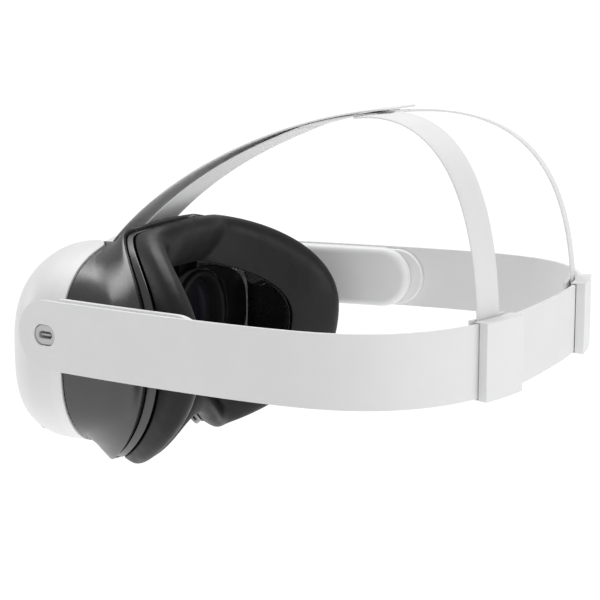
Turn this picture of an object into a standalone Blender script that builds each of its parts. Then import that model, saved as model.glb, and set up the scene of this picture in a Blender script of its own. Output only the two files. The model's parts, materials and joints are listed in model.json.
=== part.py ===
"""Virtual reality headset: visor with moving lenses, swinging side arms, rear band and crown strap.

Everything is modelled in a frame whose origin is the middle of the line between the two arm
pivots: the visor faces -Y, the wearer's left is +X and +Z is up.  The empty "headset" then
shifts that frame, so the model's own origin lies in the middle of the opening for the head.
"""
import math

import bmesh
import bpy
import numpy as np
from mathutils import Matrix, Vector

MM = 0.001

# ---------------------------------------------------------------- driving dimensions (mm)
GAP = 0.3                      # clearance between touching pieces
PIVOT_TO_HEAD = 85.0           # the pivots lie this far in front of the middle of the head

VISOR_HALF_WIDTH = 82.0
VISOR_HALF_HEIGHT = 44.9
VISOR_MIDDLE_Z = -15.3
VISOR_BULGE_START = -16.0      # the side walls are straight behind this station
VISOR_BULGE = 39.4             # depth of the curved front
PLAN_POWER = 1.8               # superellipse powers of the plan and of the front view
FRONT_POWER = 2.9
WALL = 2.2
VALLEY_DEPTH = 4.8             # dip in the top where the crown strap is anchored
VALLEY_WIDTH = 17.0
RING_POINTS = 54

BAND_HEIGHT = 29.0
BAND_THICKNESS = 1.6
BAND_END_RADIUS = BAND_HEIGHT / 2
BAND_HALF_WIDTH = 106.3
BAND_FRONT_HALF_WIDTH = 95.8
BAND_TURN_Y = 105.0            # widest station of the band
BAND_DEPTH = 78.4              # from the widest station to the back of the head
BAND_POWER = 2.78

PIVOT_AXIS_Y = 5.0
PIVOT_RADIUS = 3.2
FACE_PLATE_Y = 0.5
LENS_SPACING = 60.0
LENS_RADIUS = 19.0
BARREL_RADIUS = 22.2
IPD_TRAVEL = 3.0               # each lens moves this far either way

# ---------------------------------------------------------------- scene and materials
for old in list(bpy.data.objects):
    bpy.data.objects.remove(old, do_unlink=True)

ROOT = bpy.data.objects.new("headset", None)
ROOT.location = (0.0, -PIVOT_TO_HEAD * MM, 0.0)
bpy.context.scene.collection.objects.link(ROOT)

FINISHES = {
    "white_plastic": ((0.84, 0.84, 0.85), 0.42, 0.0),
    "white_strap": ((0.80, 0.80, 0.81), 0.6, 0.0),
    "dark_plastic": ((0.075, 0.072, 0.073), 0.38, 0.0),
    "black_plastic": ((0.02, 0.02, 0.022), 0.5, 0.0),
    "dark_foam": ((0.045, 0.043, 0.044), 0.6, 0.0),
    "lens_glass": ((0.012, 0.012, 0.016), 0.06, 0.0),
    "steel": ((0.55, 0.55, 0.57), 0.3, 1.0),
    "circuit_green": ((0.03, 0.13, 0.07), 0.5, 0.0),
    "battery_grey": ((0.25, 0.25, 0.27), 0.5, 0.0),
    "aluminium": ((0.6, 0.6, 0.62), 0.35, 1.0),
    "port_grey": ((0.27, 0.265, 0.267), 0.45, 0.0),
}


def material_for(node, finish):
    colour, roughness, metallic = FINISHES[finish]
    material = bpy.data.materials.new(node)
    material.use_nodes = True
    shader = material.node_tree.nodes["Principled BSDF"]
    shader.inputs["Base Color"].default_value = (*colour, 1.0)
    shader.inputs["Roughness"].default_value = roughness
    shader.inputs["Metallic"].default_value = metallic
    return material


def place(node, bm, origin, finish, smooth=32.0):
    """Turn a bmesh in headset millimetres into an object whose origin lies at origin."""
    bmesh.ops.recalc_face_normals(bm, faces=bm.faces)
    bmesh.ops.translate(bm, verts=bm.verts, vec=-Vector(origin))
    bmesh.ops.scale(bm, verts=bm.verts, vec=(MM, MM, MM))
    mesh = bpy.data.meshes.new(node)
    bm.to_mesh(mesh)
    bm.free()
    mesh.shade_smooth()
    mesh.set_sharp_from_angle(angle=math.radians(smooth))
    item = bpy.data.objects.new(node, mesh)
    item.location = Vector(origin) * MM
    item.parent = ROOT
    if finish:
        mesh.materials.append(material_for(node, finish))
    bpy.context.scene.collection.objects.link(item)
    return item


def cut(target, cutter):
    """Take a cutter's shape out of a target with an exact Boolean."""
    cutter.hide_render = True
    cutter.display_type = "WIRE"
    boolean = target.modifiers.new("cut_" + cutter.name, "BOOLEAN")
    boolean.operation = "DIFFERENCE"
    boolean.solver = "EXACT"
    boolean.object = cutter


def join_to(target, extra):
    """Unite an extra shape with a target; the extra shape itself is only a guide."""
    extra.hide_render = True
    extra.display_type = "WIRE"
    boolean = target.modifiers.new("join_" + extra.name, "BOOLEAN")
    boolean.operation = "UNION"
    boolean.solver = "EXACT"
    boolean.object = extra


# ---------------------------------------------------------------- basic shapes (mm)
def loft(rings, wrap=False, rungs=None):
    """Bridge closed rings of equal length; wrap joins the last ring to the first.

    rungs lists pairs of ring positions, from one end of the outline to the other, where the
    end faces are divided so that they can follow a curved band.
    """
    bm = bmesh.new()
    loops = [[bm.verts.new(p) for p in ring] for ring in rings]
    count = len(rings[0])
    pairs = list(zip(loops, loops[1:]))
    if wrap:
        pairs.append((loops[-1], loops[0]))
    for first, second in pairs:
        for i in range(count):
            j = (i + 1) % count
            bm.faces.new((first[i], first[j], second[j], second[i]))
    if not wrap:
        for ends in (loops[0], loops[-1]):
            if rungs is None:
                bm.faces.new(ends)
                continue
            for (a, b), (c, d) in zip(rungs, rungs[1:]):
                corners = [ends[i] for i in dict.fromkeys((a, b, d, c))]
                bm.faces.new(corners)
    return bm


def box(low, high):
    bm = bmesh.new()
    bmesh.ops.create_cube(bm, size=1.0)
    size = Vector(high) - Vector(low)
    bmesh.ops.scale(bm, verts=bm.verts, vec=size)
    bmesh.ops.translate(bm, verts=bm.verts, vec=(Vector(low) + Vector(high)) / 2)
    return bm


AXIS_TURN = {
    "x": Matrix.Rotation(math.radians(90), 3, "Y"),
    "y": Matrix.Rotation(math.radians(-90), 3, "X"),
    "z": Matrix.Identity(3),
}


def rod(start, length, radius, axis, sides=24, end_radius=None):
    """A solid cylinder or cone along +axis from start."""
    bm = bmesh.new()
    bmesh.ops.create_cone(bm, cap_ends=True, segments=sides, radius1=radius,
                          radius2=radius if end_radius is None else end_radius, depth=length)
    bmesh.ops.translate(bm, verts=bm.verts, vec=(0, 0, length / 2))
    bmesh.ops.rotate(bm, verts=bm.verts, matrix=AXIS_TURN[axis])
    bmesh.ops.translate(bm, verts=bm.verts, vec=start)
    return bm


def turned(start, axis, profile, sides=32):
    """A ring turned from a closed profile of (radius, height) points around +axis."""
    rings = []
    for radius, height in profile:
        ring = []
        for i in range(sides):
            angle = 2 * math.pi * i / sides
            point = Vector((radius * math.cos(angle), radius * math.sin(angle), height))
            ring.append(AXIS_TURN[axis] @ point + Vector(start))
        rings.append(ring)
    return loft(rings, wrap=True)


def pill_outline(half_length, half_height, steps=8):
    """A stadium outline around the origin, as (along, up) points."""
    reach = half_length - half_height
    points = []
    for side in (1, -1):
        for i in range(steps + 1):
            angle = math.radians(-90 + 180 * i / steps)
            points.append((side * (reach + half_height * math.cos(angle)),
                           side * half_height * math.sin(angle)))
    return points


# ---------------------------------------------------------------- the visor's skin
def valley(x, up):
    return VALLEY_DEPTH * math.exp(-(x / VALLEY_WIDTH) ** 2) * max(0.0, up) ** 3


def skin_point(angle, y, inset):
    """The point of the visor's skin at one angle of the front view and one station."""
    half_width = VISOR_HALF_WIDTH - inset
    half_height = VISOR_HALF_HEIGHT - inset
    depth = VISOR_BULGE - inset
    across = math.copysign(abs(math.cos(angle)) ** (2 / FRONT_POWER), math.cos(angle))
    up = math.copysign(abs(math.sin(angle)) ** (2 / FRONT_POWER), math.sin(angle))
    forward = min(1.0, max(0.0, (VISOR_BULGE_START - y) / depth)) ** PLAN_POWER
    low, high = 0.0, 1.0
    for _ in range(30):
        scale = (low + high) / 2
        plan = (scale * abs(across)) ** PLAN_POWER + forward
        if plan ** (FRONT_POWER / PLAN_POWER) + (scale * abs(up)) ** FRONT_POWER > 1:
            high = scale
        else:
            low = scale
    x = half_width * low * across
    z = VISOR_MIDDLE_Z + half_height * low * up - valley(x, up)
    return Vector((x, y, z))


def even_angles(count):
    """Angles that space the front-view outline evenly along its length."""
    dense = [2 * math.pi * i / 1440 for i in range(1441)]
    points = [skin_point(a, 0.0, 0.0) for a in dense]
    run = [0.0]
    for a, b in zip(points, points[1:]):
        run.append(run[-1] + (b - a).length)
    wanted = [run[-1] * i / count for i in range(count)]
    return [float(np.interp(w, run, dense)) for w in wanted]


ANGLES = even_angles(RING_POINTS)


def seam_y(angle):
    """Station of the joint between front shell and rear housing."""
    point = skin_point(angle, 0.0, 0.0)
    spread = 1 - (point.x / VISOR_HALF_WIDTH) ** 2
    if math.sin(angle) > 0:
        return -2.0 - 10.0 * spread - 15.5 * math.exp(-(point.x / 26.0) ** 4)
    return -2.0 - 16.0 * spread ** 2


def skin_ring(station, inset):
    return [skin_point(a, station(a), inset) for a in ANGLES]


def front_shell():
    front = VISOR_BULGE_START - VISOR_BULGE
    shares = (0.0, 0.28, 0.52, 0.72, 0.87, 0.96, 0.995)

    def rings(inset):
        reach = front + inset
        result = []
        for share in shares:
            def station(a, share=share):
                return seam_y(a) + (reach - seam_y(a)) * share
            result.append(skin_ring(station, inset))
        return result

    skin = rings(0.0)
    lining = rings(WALL)
    shell = loft(list(reversed(lining)) + skin)
    return place("front_shell", shell, (0, -30, VISOR_MIDDLE_Z), "white_plastic")


def seam_gasket():
    """Thin black gasket in the joint between the two shells."""
    def ring(inset, offset):
        return skin_ring(lambda a: seam_y(a) + offset, inset)

    rings = [ring(0.9, 0.3), ring(0.9, 0.7), ring(1.9, 0.7), ring(1.9, 0.3)]
    return place("seam_gasket", loft(rings, wrap=True), (0, -4, VISOR_MIDDLE_Z), "black_plastic")


# ---------------------------------------------------------------- facial interface
FACE_HALF_WIDTH = 71.0
FACE_MIDDLE_Z = -18.0
FACE_RISE = 55.3               # from the middle to the forehead edge and to the cheek edge
FACE_DROP = 57.0
FOREHEAD_POWER = 2.7
CHEEK_POWER = 2.45
NOSE_HEIGHT = 22.0
NOSE_WIDTH = 26.0
FRAME_DEPTH = 4.4              # facial interface frame between flange and cushion
CUSHION_DEPTH = 9.0            # least thickness of the cushion


def face_outline(angle, inset):
    """Front-view outline of the cushion: round forehead, fuller cheeks and a nose notch."""
    above = math.sin(angle) > 0
    power = FOREHEAD_POWER if above else CHEEK_POWER
    reach = (FACE_RISE if above else FACE_DROP) - inset
    x = math.copysign(abs(math.cos(angle)) ** (2 / power), math.cos(angle))
    z = math.copysign(abs(math.sin(angle)) ** (2 / power), math.sin(angle))
    x *= FACE_HALF_WIDTH - inset
    notch = NOSE_HEIGHT * math.exp(-(x / NOSE_WIDTH) ** 2) * max(0.0, -z) ** 2
    return x, FACE_MIDDLE_Z + reach * z + notch


def soft_max(a, b):
    return (a + b + math.hypot(a - b, 2.0)) / 2


def ridge_y(angle):
    """Station of the housing's flange, which is curved to follow a face.

    It stays behind the lens panel at the nose and behind the crown strap at the top.
    """
    x, z = face_outline(angle, 0.0)
    face = -7.0 + 38.5 * (x / 70.0) ** 2 - 8.0 * (z / 57.0) ** 2
    if math.sin(angle) > 0:
        least = 2.2 - 0.02 * max(0.0, abs(x) - 13.0) ** 2
    else:
        least = 3.5 - 0.007 * x * x
    return soft_max(face, least)


def face_base_y(angle):
    """Station where the cushion leaves its frame."""
    x = face_outline(angle, 0.0)[0]
    return ridge_y(angle) + FRAME_DEPTH + 2.0 * (x / 70.0) ** 2


def face_back_y(angle):
    """Station of the cushion's rear edge, which follows forehead, temples and cheeks."""
    x, z = face_outline(angle, 4.0)
    face = 9.6 + 47.9 * (x / 70.0) ** 2 - 14.0 * (z / 57.0) ** 2
    return soft_max(face, face_base_y(angle) + CUSHION_DEPTH)


def rear_housing():
    """Dark rear shell: straight wall, then a fillet that flares to the flange behind it."""
    def wall(share, inset):
        ring = []
        for a in ANGLES:
            start = seam_y(a) + GAP + 0.7
            end = max(start + 1.5, ridge_y(a) - 9.0)
            ring.append(skin_point(a, start + (end - start) * share, inset))
        return ring

    def flare(share, before, inset, edge_inset):
        ring = []
        for a in ANGLES:
            point = skin_point(a, VISOR_BULGE_START, inset)
            x, z = face_outline(a, edge_inset)
            y = max(ridge_y(a) - before, seam_y(a) + GAP + 3.0 - before * 0.1)
            ring.append(Vector((point.x + (x - point.x) * share, y,
                                point.z + (z - point.z) * share)))
        return ring

    rings = [wall(0.0, 0.5), wall(0.6, 0.6), wall(1.0, 0.7), flare(0.12, 5.6, 0.7, 0.0),
             flare(0.45, 2.8, 0.7, 0.0), flare(0.9, 0.8, 0.7, 0.0), flare(1.0, 0.0, 0.7, 0.3),
             flare(1.0, -0.6, 0.7, 2.0), flare(1.0, -0.6, 0.7, 7.0), flare(1.0, -0.6, 0.7, 12.0),
             flare(1.0, 1.4, 0.7, 12.0),
             flare(0.5, 3.6, 3.2, 4.0), wall(1.0, 3.0), wall(0.0, 2.7)]
    return place("rear_housing", loft(rings, wrap=True), (0, 10, VISOR_MIDDLE_Z), "dark_plastic")


def cushion_ring(inset, share):
    ring = []
    for a in ANGLES:
        x, z = face_outline(a, inset)
        base = face_base_y(a)
        ring.append(Vector((x, base + (face_back_y(a) - base) * share, z)))
    return ring


def face_cushion():
    section = [(2.0, 0.0), (0.4, 0.35), (0.0, 0.62), (1.2, 0.88), (4.5, 1.0), (9.0, 0.94),
               (14.5, 0.66), (19.5, 0.3), (22.0, 0.0), (15.3, 0.0), (8.7, 0.0)]
    rings = [cushion_ring(inset, share) for inset, share in section]
    return place("face_cushion", loft(rings, wrap=True), (0, 30, FACE_MIDDLE_Z), "dark_foam")


def interface_frame():
    """Rigid ring between the housing's flange and the cushion."""
    def ring_at(inset, station):
        ring = []
        for a in ANGLES:
            x, z = face_outline(a, inset)
            ring.append(Vector((x, station(a), z)))
        return ring

    def seat(a):
        return ridge_y(a) + 0.6 + 2 * GAP

    def top(a):
        return face_base_y(a) - 4 * GAP

    rings = [ring_at(2.0, seat), ring_at(2.0, top), ring_at(8.7, top), ring_at(15.3, top),
             ring_at(22.0, top), ring_at(12.0, seat), ring_at(7.0, seat)]
    return place("interface_frame", loft(rings, wrap=True), (0, 20, FACE_MIDDLE_Z),
                 "dark_plastic")


# ---------------------------------------------------------------- inside the visor
LENS_Z = -14.0
RAIL_Y = -9.0
RAIL_Z = (12.0, -40.0)
PINION_Z = -44.0
PINION_PITCH = 4.0
PINION_TEETH = 12
RACK_Y = (-15.0, -12.3)


def side_name(side):
    return "left" if side > 0 else "right"


def lens_plate():
    outline = []
    for a in ANGLES:
        across = math.copysign(abs(math.cos(a)) ** (2 / FRONT_POWER), math.cos(a))
        up = math.copysign(abs(math.sin(a)) ** (2 / FRONT_POWER), math.sin(a))
        x = 75.0 * across
        outline.append((x, VISOR_MIDDLE_Z + 26.0 * up - valley(x, up)))
    rings = [[Vector((x, y, z)) for x, z in outline] for y in (FACE_PLATE_Y - 2.0, FACE_PLATE_Y)]
    plate = place("lens_plate", loft(rings), (0, 0, VISOR_MIDDLE_Z), "black_plastic")
    for side in (1, -1):
        rings = []
        for y in (-4.0, 4.0):
            shape = pill_outline(BARREL_RADIUS + IPD_TRAVEL + 0.5, BARREL_RADIUS + 0.5, 12)
            rings.append([Vector((side * LENS_SPACING / 2 + u, y, LENS_Z + v)) for u, v in shape])
        cut(plate, place("lens_opening_" + side_name(side), loft(rings), (0, 0, 0), None))
    for i, (x, z) in enumerate(SCREW_SPOTS):
        hole = rod((x, -4, z), 8, 1.4, "y", 12)
        cut(plate, place(f"screw_hole_{i + 1}", hole, (x, 0, z), None))
    return plate


SCREW_SPOTS = [(62, 6), (-62, 6), (62, -38), (-62, -38)]


def plate_screws():
    for i, (x, z) in enumerate(SCREW_SPOTS):
        screw = rod((x, -5.0, z), 5.0 + FACE_PLATE_Y + GAP, 1.1, "y", 12)
        head = rod((x, FACE_PLATE_Y + GAP, z), 1.3, 2.6, "y", 16)
        item = place(f"plate_screw_{i + 1}", screw, (x, 0, z), "steel")
        join_to(item, place(f"screw_head_{i + 1}", head, (x, 0, z), None))


def lens_group(side):
    """Carrier with its lens, display and rack; the whole group slides along the rails."""
    name = side_name(side)
    centre = side * LENS_SPACING / 2
    barrel = [(22.2, -13.0), (22.2, 1.0), (21.4, 1.8), (20.4, 1.8), (19.6, 0.6), (19.4, -13.0)]
    origin = (centre, RAIL_Y, LENS_Z)
    carrier = place(f"lens_carrier_{name}", turned((centre, 0, LENS_Z), "y", barrel, 32),
                    origin, "black_plastic")
    for label, low_z, high_z in (("upper", 6.5, 16.0), ("lower", -49.6, -34.5)):
        ear = box((centre - 8, -12, low_z), (centre + 8, -6.4, high_z))
        join_to(carrier, place(f"ear_{label}_{name}", ear, origin, None))
    for label, z in zip(("upper", "lower"), RAIL_Z):
        bore = rod((centre - 12, RAIL_Y, z), 24, 1.8, "x", 20)
        cut(carrier, place(f"rail_bore_{label}_{name}", bore, origin, None))

    radii = [(5.0, -1.2), (10.0, -1.7), (15.0, -2.7), (LENS_RADIUS, -4.2), (LENS_RADIUS, -7.0),
             (12.0, -7.8)]
    rings = []
    for radius, y in radii:
        ring = []
        for i in range(28):
            angle = 2 * math.pi * i / 28
            ring.append(Vector((centre + radius * math.cos(angle), y,
                                LENS_Z + radius * math.sin(angle))))
        rings.append(ring)
    place(f"lens_{name}", loft(rings), origin, "lens_glass")
    panel = box((centre - 19, -16.5, LENS_Z - 17), (centre + 19, -13.3, LENS_Z + 17))
    place(f"display_{name}", panel, origin, "lens_glass")

    pitch = 2 * math.pi * PINION_PITCH / PINION_TEETH
    tip = PINION_PITCH - 0.35
    root = PINION_PITCH + 0.8
    back = root + 2.2
    points = [(-side * 12.0, back), (-side * 12.0, root)]
    for i in range(-4, 4):
        middle = (i + 0.5) * pitch * side
        for offset, height in ((-0.62, root), (-0.3, tip), (0.3, tip), (0.62, root)):
            points.append((middle + offset * side, height))
    points += [(side * 34.0, root), (side * 34.0, back)]
    rings = [[Vector((x, y, PINION_Z + side * h)) for x, h in points] for y in RACK_Y]
    place(f"rack_{name}", loft(rings), origin, "white_plastic")


def pinion():
    rings = []
    for y in RACK_Y:
        ring = []
        for i in range(PINION_TEETH):
            for offset, radius in ((-7.5, 3.3), (-4.5, 4.35), (4.5, 4.35), (7.5, 3.3)):
                angle = math.radians(i * 360 / PINION_TEETH + offset)
                ring.append(Vector((radius * math.cos(angle), y,
                                    PINION_Z + radius * math.sin(angle))))
        rings.append(ring)
    wheel = place("ipd_pinion", loft(rings), (0, RACK_Y[0], PINION_Z), "white_plastic")
    bore = rod((0, -17, PINION_Z), 8, 1.3, "y", 16)
    cut(wheel, place("pinion_bore", bore, (0, 0, PINION_Z), None))
    place("pinion_pin", rod((0, -18.0, PINION_Z), 7.5, 1.0, "y", 16), (0, -15, PINION_Z), "steel")


def guide_rails():
    for label, z in zip(("upper", "lower"), RAIL_Z):
        place(f"guide_rail_{label}", rod((-60, RAIL_Y, z), 120, 1.5, "x", 16),
              (0, RAIL_Y, z), "steel")


FAN_CENTRE = Vector((0, -32, -6))
FAN_RADIUS = 13.0


def electronics():
    place("main_board", box((-58, -22.2, -34), (58, -21.0, 12)), (0, -21, -10), "circuit_green")
    place("battery_pack", box((-42, -31, -48), (42, -23, -35)), (0, -27, -41), "battery_grey")

    fins = [(-40, -22.6), (40, -22.6)]
    for i in range(8):
        x = 38.5 - i * 11.0
        fins += [(x + 1.5, -24.0), (x + 1.5, -26.5), (x, -26.5), (x, -24.0)]
    fins.append((-40, -24.0))
    rings = [[Vector((x, y, z)) for x, y in fins] for z in (-28, 8)]
    place("heat_sink", loft(rings), (0, -24, -10), "aluminium")

    x, y, z = FAN_CENTRE
    frame = place("fan_frame", box((x - 16, y - 5, z - 16), (x + 16, y + 5, z + 16)),
                  FAN_CENTRE, "black_plastic")
    cut(frame, place("fan_well", rod((x, y - 6, z), 12, FAN_RADIUS + 0.6, "y", 28),
                     FAN_CENTRE, None))
    ring = []
    blades = 7
    for i in range(blades):
        for offset, radius in ((0, 4.5), (8, 4.5), (26, FAN_RADIUS), (34, FAN_RADIUS), (16, 4.6)):
            angle = math.radians(i * 360 / blades + offset)
            ring.append((radius * math.cos(angle), radius * math.sin(angle)))
    rings = [[Vector((x + u, y + w, z + v)) for u, v in ring] for w in (-3.5, 3.5)]
    place("fan_rotor", loft(rings), FAN_CENTRE, "black_plastic")

    sensor = [(u, v) for u, v in pill_outline(4.0, 1.6)]
    rings = [[Vector((u, w, 4.0 + v)) for u, v in sensor]
             for w in (FACE_PLATE_Y + GAP, FACE_PLATE_Y + 1.5)]
    place("wear_sensor", loft(rings), (0, 1, 4), "lens_glass")


CAMERA_SPOTS = [("upper", 0.62, -44.0), ("lower", -0.72, -30.0)]


def cameras(shell):
    """Round camera windows set into the curved front, with a camera behind each."""
    for label, turn, y in CAMERA_SPOTS:
        for side in (1, -1):
            angle = turn if side > 0 else math.pi - turn
            spot = skin_point(angle, y, 0.0)
            along = skin_point(angle + 0.02, y, 0.0) - skin_point(angle - 0.02, y, 0.0)
            back = skin_point(angle, y + 0.5, 0.0) - skin_point(angle, y - 0.5, 0.0)
            normal = along.cross(back).normalized()
            if normal.y > 0:
                normal.negate()
            turn_matrix = Vector((0, 0, 1)).rotation_difference(normal).to_matrix()

            def disc(radius, low, high, sides, spot=spot, turn_matrix=turn_matrix):
                bm = rod((0, 0, low), high - low, radius, "z", sides)
                bmesh.ops.rotate(bm, verts=bm.verts, matrix=turn_matrix)
                bmesh.ops.translate(bm, verts=bm.verts, vec=spot)
                return bm

            name = f"{label}_{side_name(side)}"
            cut(shell, place("camera_hole_" + name, disc(6.3, -6, 4, 20), spot, None))
            place("camera_window_" + name, disc(6.0, -1.8, -0.4, 20), spot, "lens_glass")
            place("tracking_camera_" + name, disc(4.0, -9.0, -2.1, 14), spot, "black_plastic")


POWER_SPOT = Vector((-VISOR_HALF_WIDTH, -12.0, -24.0))
VOLUME_Y = -28.0
VOLUME_X = 9.0


def buttons(shell):
    x, y, z = POWER_SPOT
    cap = place("power_button", rod((x - 0.3, y, z), 4.3, 4.0, "x", 24), POWER_SPOT,
                "white_plastic")
    join_to(cap, place("power_flange", rod((x + 3.7, y, z), 1.0, 5.0, "x", 24), POWER_SPOT,
                       None))
    cut(shell, place("power_hole", rod((x - 3, y, z), 8, 4.3, "x", 24), POWER_SPOT, None))
    floor = skin_point(-math.pi / 2, VOLUME_Y, 0.0).z
    for label, x in (("up", VOLUME_X), ("down", -VOLUME_X)):
        spot = (x, VOLUME_Y, floor)
        cap = place(f"volume_{label}_button", rod((x, VOLUME_Y, floor), 4.6, 3.5, "z"),
                    spot, "white_plastic")
        flange = rod((x, VOLUME_Y, floor + 4.4), 1.0, 4.6, "z")
        join_to(cap, place(f"volume_flange_{label}", flange, spot, None))
        hole = rod((x, VOLUME_Y, floor - 2), 7, 3.8, "z")
        cut(shell, place(f"volume_hole_{label}", hole, spot, None))


def strap_anchor(housing):
    """Buckle frame under a slot in the housing's top, which the crown strap loops through."""
    slot = place("strap_slot", box((-14.6, -23.3, 12), (14.6, -8.6, 40)), (0, -18, 24), None)
    cut(housing, slot)
    bar = place("strap_anchor", box((-18.5, -22.8, 18.6), (18.5, -11.4, 20.6)),
                (0, -18, 20), "steel")
    cut(bar, place("anchor_window", box((-14.3, -19.8, 16), (14.3, -13.6, 24)),
                   (0, -18, 20), None))


# ---------------------------------------------------------------- band, arms and pivots
def band_x(y):
    """Half width of the band at a station."""
    if y > BAND_TURN_Y:
        share = min(1.0, (y - BAND_TURN_Y) / BAND_DEPTH)
        return BAND_HALF_WIDTH * (1 - share ** BAND_POWER) ** (1 / BAND_POWER)
    widening = BAND_HALF_WIDTH - BAND_FRONT_HALF_WIDTH
    return BAND_HALF_WIDTH - widening * (1 - y / BAND_TURN_Y) ** 1.6


def band_table():
    """Outer line of the left half of the band, from the front tip to the back of the head."""
    points = [(band_x(float(y)), float(y)) for y in np.linspace(-16.0, BAND_TURN_Y, 120)]
    for angle in np.linspace(0, math.pi / 2, 240)[1:]:
        x = BAND_HALF_WIDTH * math.cos(angle) ** (2 / BAND_POWER) if angle < 1.5707 else 0.0
        y = BAND_TURN_Y + BAND_DEPTH * math.sin(angle) ** (2 / BAND_POWER)
        points.append((x, y))
    points = np.array(points)
    steps = np.hypot(*np.diff(points, axis=0).T)
    run = np.concatenate([[0.0], np.cumsum(steps)])
    start = float(np.interp(0.0, points[:120, 1], run[:120]))
    return points, run - start


BAND_POINTS, BAND_RUN = band_table()
BAND_HALF_LENGTH = float(BAND_RUN[-1])


def band_point(along, inset, z, side=1):
    """A point at a distance along the band from the pivot station, inset from its outside."""
    x = float(np.interp(along, BAND_RUN, BAND_POINTS[:, 0]))
    y = float(np.interp(along, BAND_RUN, BAND_POINTS[:, 1]))
    reach = 1.5
    low = max(along - reach, float(BAND_RUN[0]))
    high = along + reach
    if high > BAND_HALF_LENGTH:
        normal = Vector((-x * 0.001, -1.0))
    else:
        dx = float(np.interp(high, BAND_RUN, BAND_POINTS[:, 0])
                   - np.interp(low, BAND_RUN, BAND_POINTS[:, 0]))
        dy = float(np.interp(high, BAND_RUN, BAND_POINTS[:, 1])
                   - np.interp(low, BAND_RUN, BAND_POINTS[:, 1]))
        normal = Vector((-dy, dx))
    normal.normalize()
    return Vector((side * (x + inset * normal.x), y + inset * normal.y, z))


def strap_band():
    stations = []
    for i in range(8):
        turn = math.radians(12 + 78 * i / 7)
        stations.append((-BAND_END_RADIUS * math.cos(turn), BAND_END_RADIUS * math.sin(turn)))
    for along in np.linspace(12, BAND_HALF_LENGTH, 34):
        stations.append((float(along), BAND_END_RADIUS))
    rings = []
    for side in (1, -1):
        half = []
        for along, rise in stations:
            if side < 0 and along > BAND_HALF_LENGTH - 0.1:
                continue
            half.append([band_point(along, 0, rise, side), band_point(along, 0, -rise, side),
                         band_point(along, BAND_THICKNESS, -rise, side),
                         band_point(along, BAND_THICKNESS, rise, side)])
        rings += half if side > 0 else list(reversed(half))
    band = place("strap_band", loft(rings), (0, 60, 0), "white_strap")
    cut(band, place("port_opening", port_solid(5.9, 4.4, -3, 4), (BAND_FRONT_HALF_WIDTH, 0, 0),
                    None))
    return band


def port_solid(half_length, half_height, low, high):
    rings = []
    for inset in (low, high):
        rings.append([band_point(u, inset, v) for u, v in pill_outline(half_length, half_height)])
    return loft(rings)


def arm_outline(start, end, radius, shrink):
    """Stadium outline along the band, as (along, up) points."""
    radius -= shrink
    points = []
    first = start + shrink + radius
    last = end - shrink - radius
    for i in range(9):
        turn = math.radians(-90 + 180 * i / 8)
        points.append((last + radius * math.cos(turn), radius * math.sin(turn)))
    inner = list(np.linspace(last, first, 7))[1:-1]
    points += [(float(a), radius) for a in inner]
    for i in range(9):
        turn = math.radians(90 + 180 * i / 8)
        points.append((first + radius * math.cos(turn), radius * math.sin(turn)))
    points += [(float(a), -radius) for a in reversed(inner)]
    return points


def stadium_rungs(count):
    """Pairs of upper and lower points of an arm outline, from its rear tip to its front tip."""
    return [((4 + i) % count, (4 - i) % count) for i in range(count // 2 + 1)]


def arm_layers(start, end, radius, levels, side):
    rings = []
    for inset, shrink in levels:
        outline = arm_outline(start, end, radius, shrink)
        rings.append([band_point(a, inset, z, side) for a, z in outline])
    return loft(rings, rungs=stadium_rungs(len(outline)))


def arm(side):
    name = side_name(side)
    origin = (side * 90, PIVOT_AXIS_Y, 0)
    core = place(f"arm_core_{name}",
                 arm_layers(-13.4, 84.0, 13.5, [(1.9, 0.4), (2.3, 0), (4.7, 0), (5.1, 0.4)], side),
                 origin, "white_plastic")
    levels = [(9.3, 3.6), (5.4, 3.2), (5.4, 0.0), (8.4, 0.0), (10.2, 0.9), (11.0, 3.4)]
    cover = place(f"arm_cover_{name}", arm_layers(-9.0, 78.5, 14.4, levels, side),
                  origin, "white_plastic")
    speaker = arm_layers(28, 62, 8.5, [(5.7, 0), (9.0, 0)], side)
    place(f"speaker_{name}", speaker, origin, "black_plastic")

    if side > 0:
        cut(core, place("port_pocket", port_solid(5.9, 4.4, 0, 7), origin, None))
        port = place("port_shell", port_solid(5.6, 4.1, 1.3, 5.1), (94, 0, 0), "port_grey")
        cut(port, place("port_mouth", port_solid(3.7, 1.5, 0, 4.4), (94, 0, 0), None))
        place("port_tongue", port_solid(2.6, 0.4, 1.9, 4.1), (94, 0, 0), "black_plastic")

    axis = (0, PIVOT_AXIS_Y, 0)

    def along_x(x, length, radius, sides=18):
        start = (x if side > 0 else -x - length, PIVOT_AXIS_Y, 0)
        return rod(start, length, radius, "x", sides)

    cut(cover, place(f"cover_bore_{name}", along_x(70, 20, PIVOT_RADIUS + GAP), axis, None))
    pin = place(f"pivot_pin_{name}", along_x(75.4, 14.4, PIVOT_RADIUS), origin, "steel")
    join_to(pin, place(f"pin_head_{name}", along_x(73.0, 2.4, 4.2), origin, None))
    start = (75.7, PIVOT_AXIS_Y, 0) if side > 0 else (-83.9, PIVOT_AXIS_Y, 0)
    sleeve = [(PIVOT_RADIUS + GAP, 0), (PIVOT_RADIUS + GAP, 8.2), (6.0, 8.2), (6.0, 0)]
    place(f"pivot_bush_{name}", turned(start, "x", sleeve, 18), origin, "dark_plastic")
    return along_x(68, 18, 6.0 + GAP)


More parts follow.
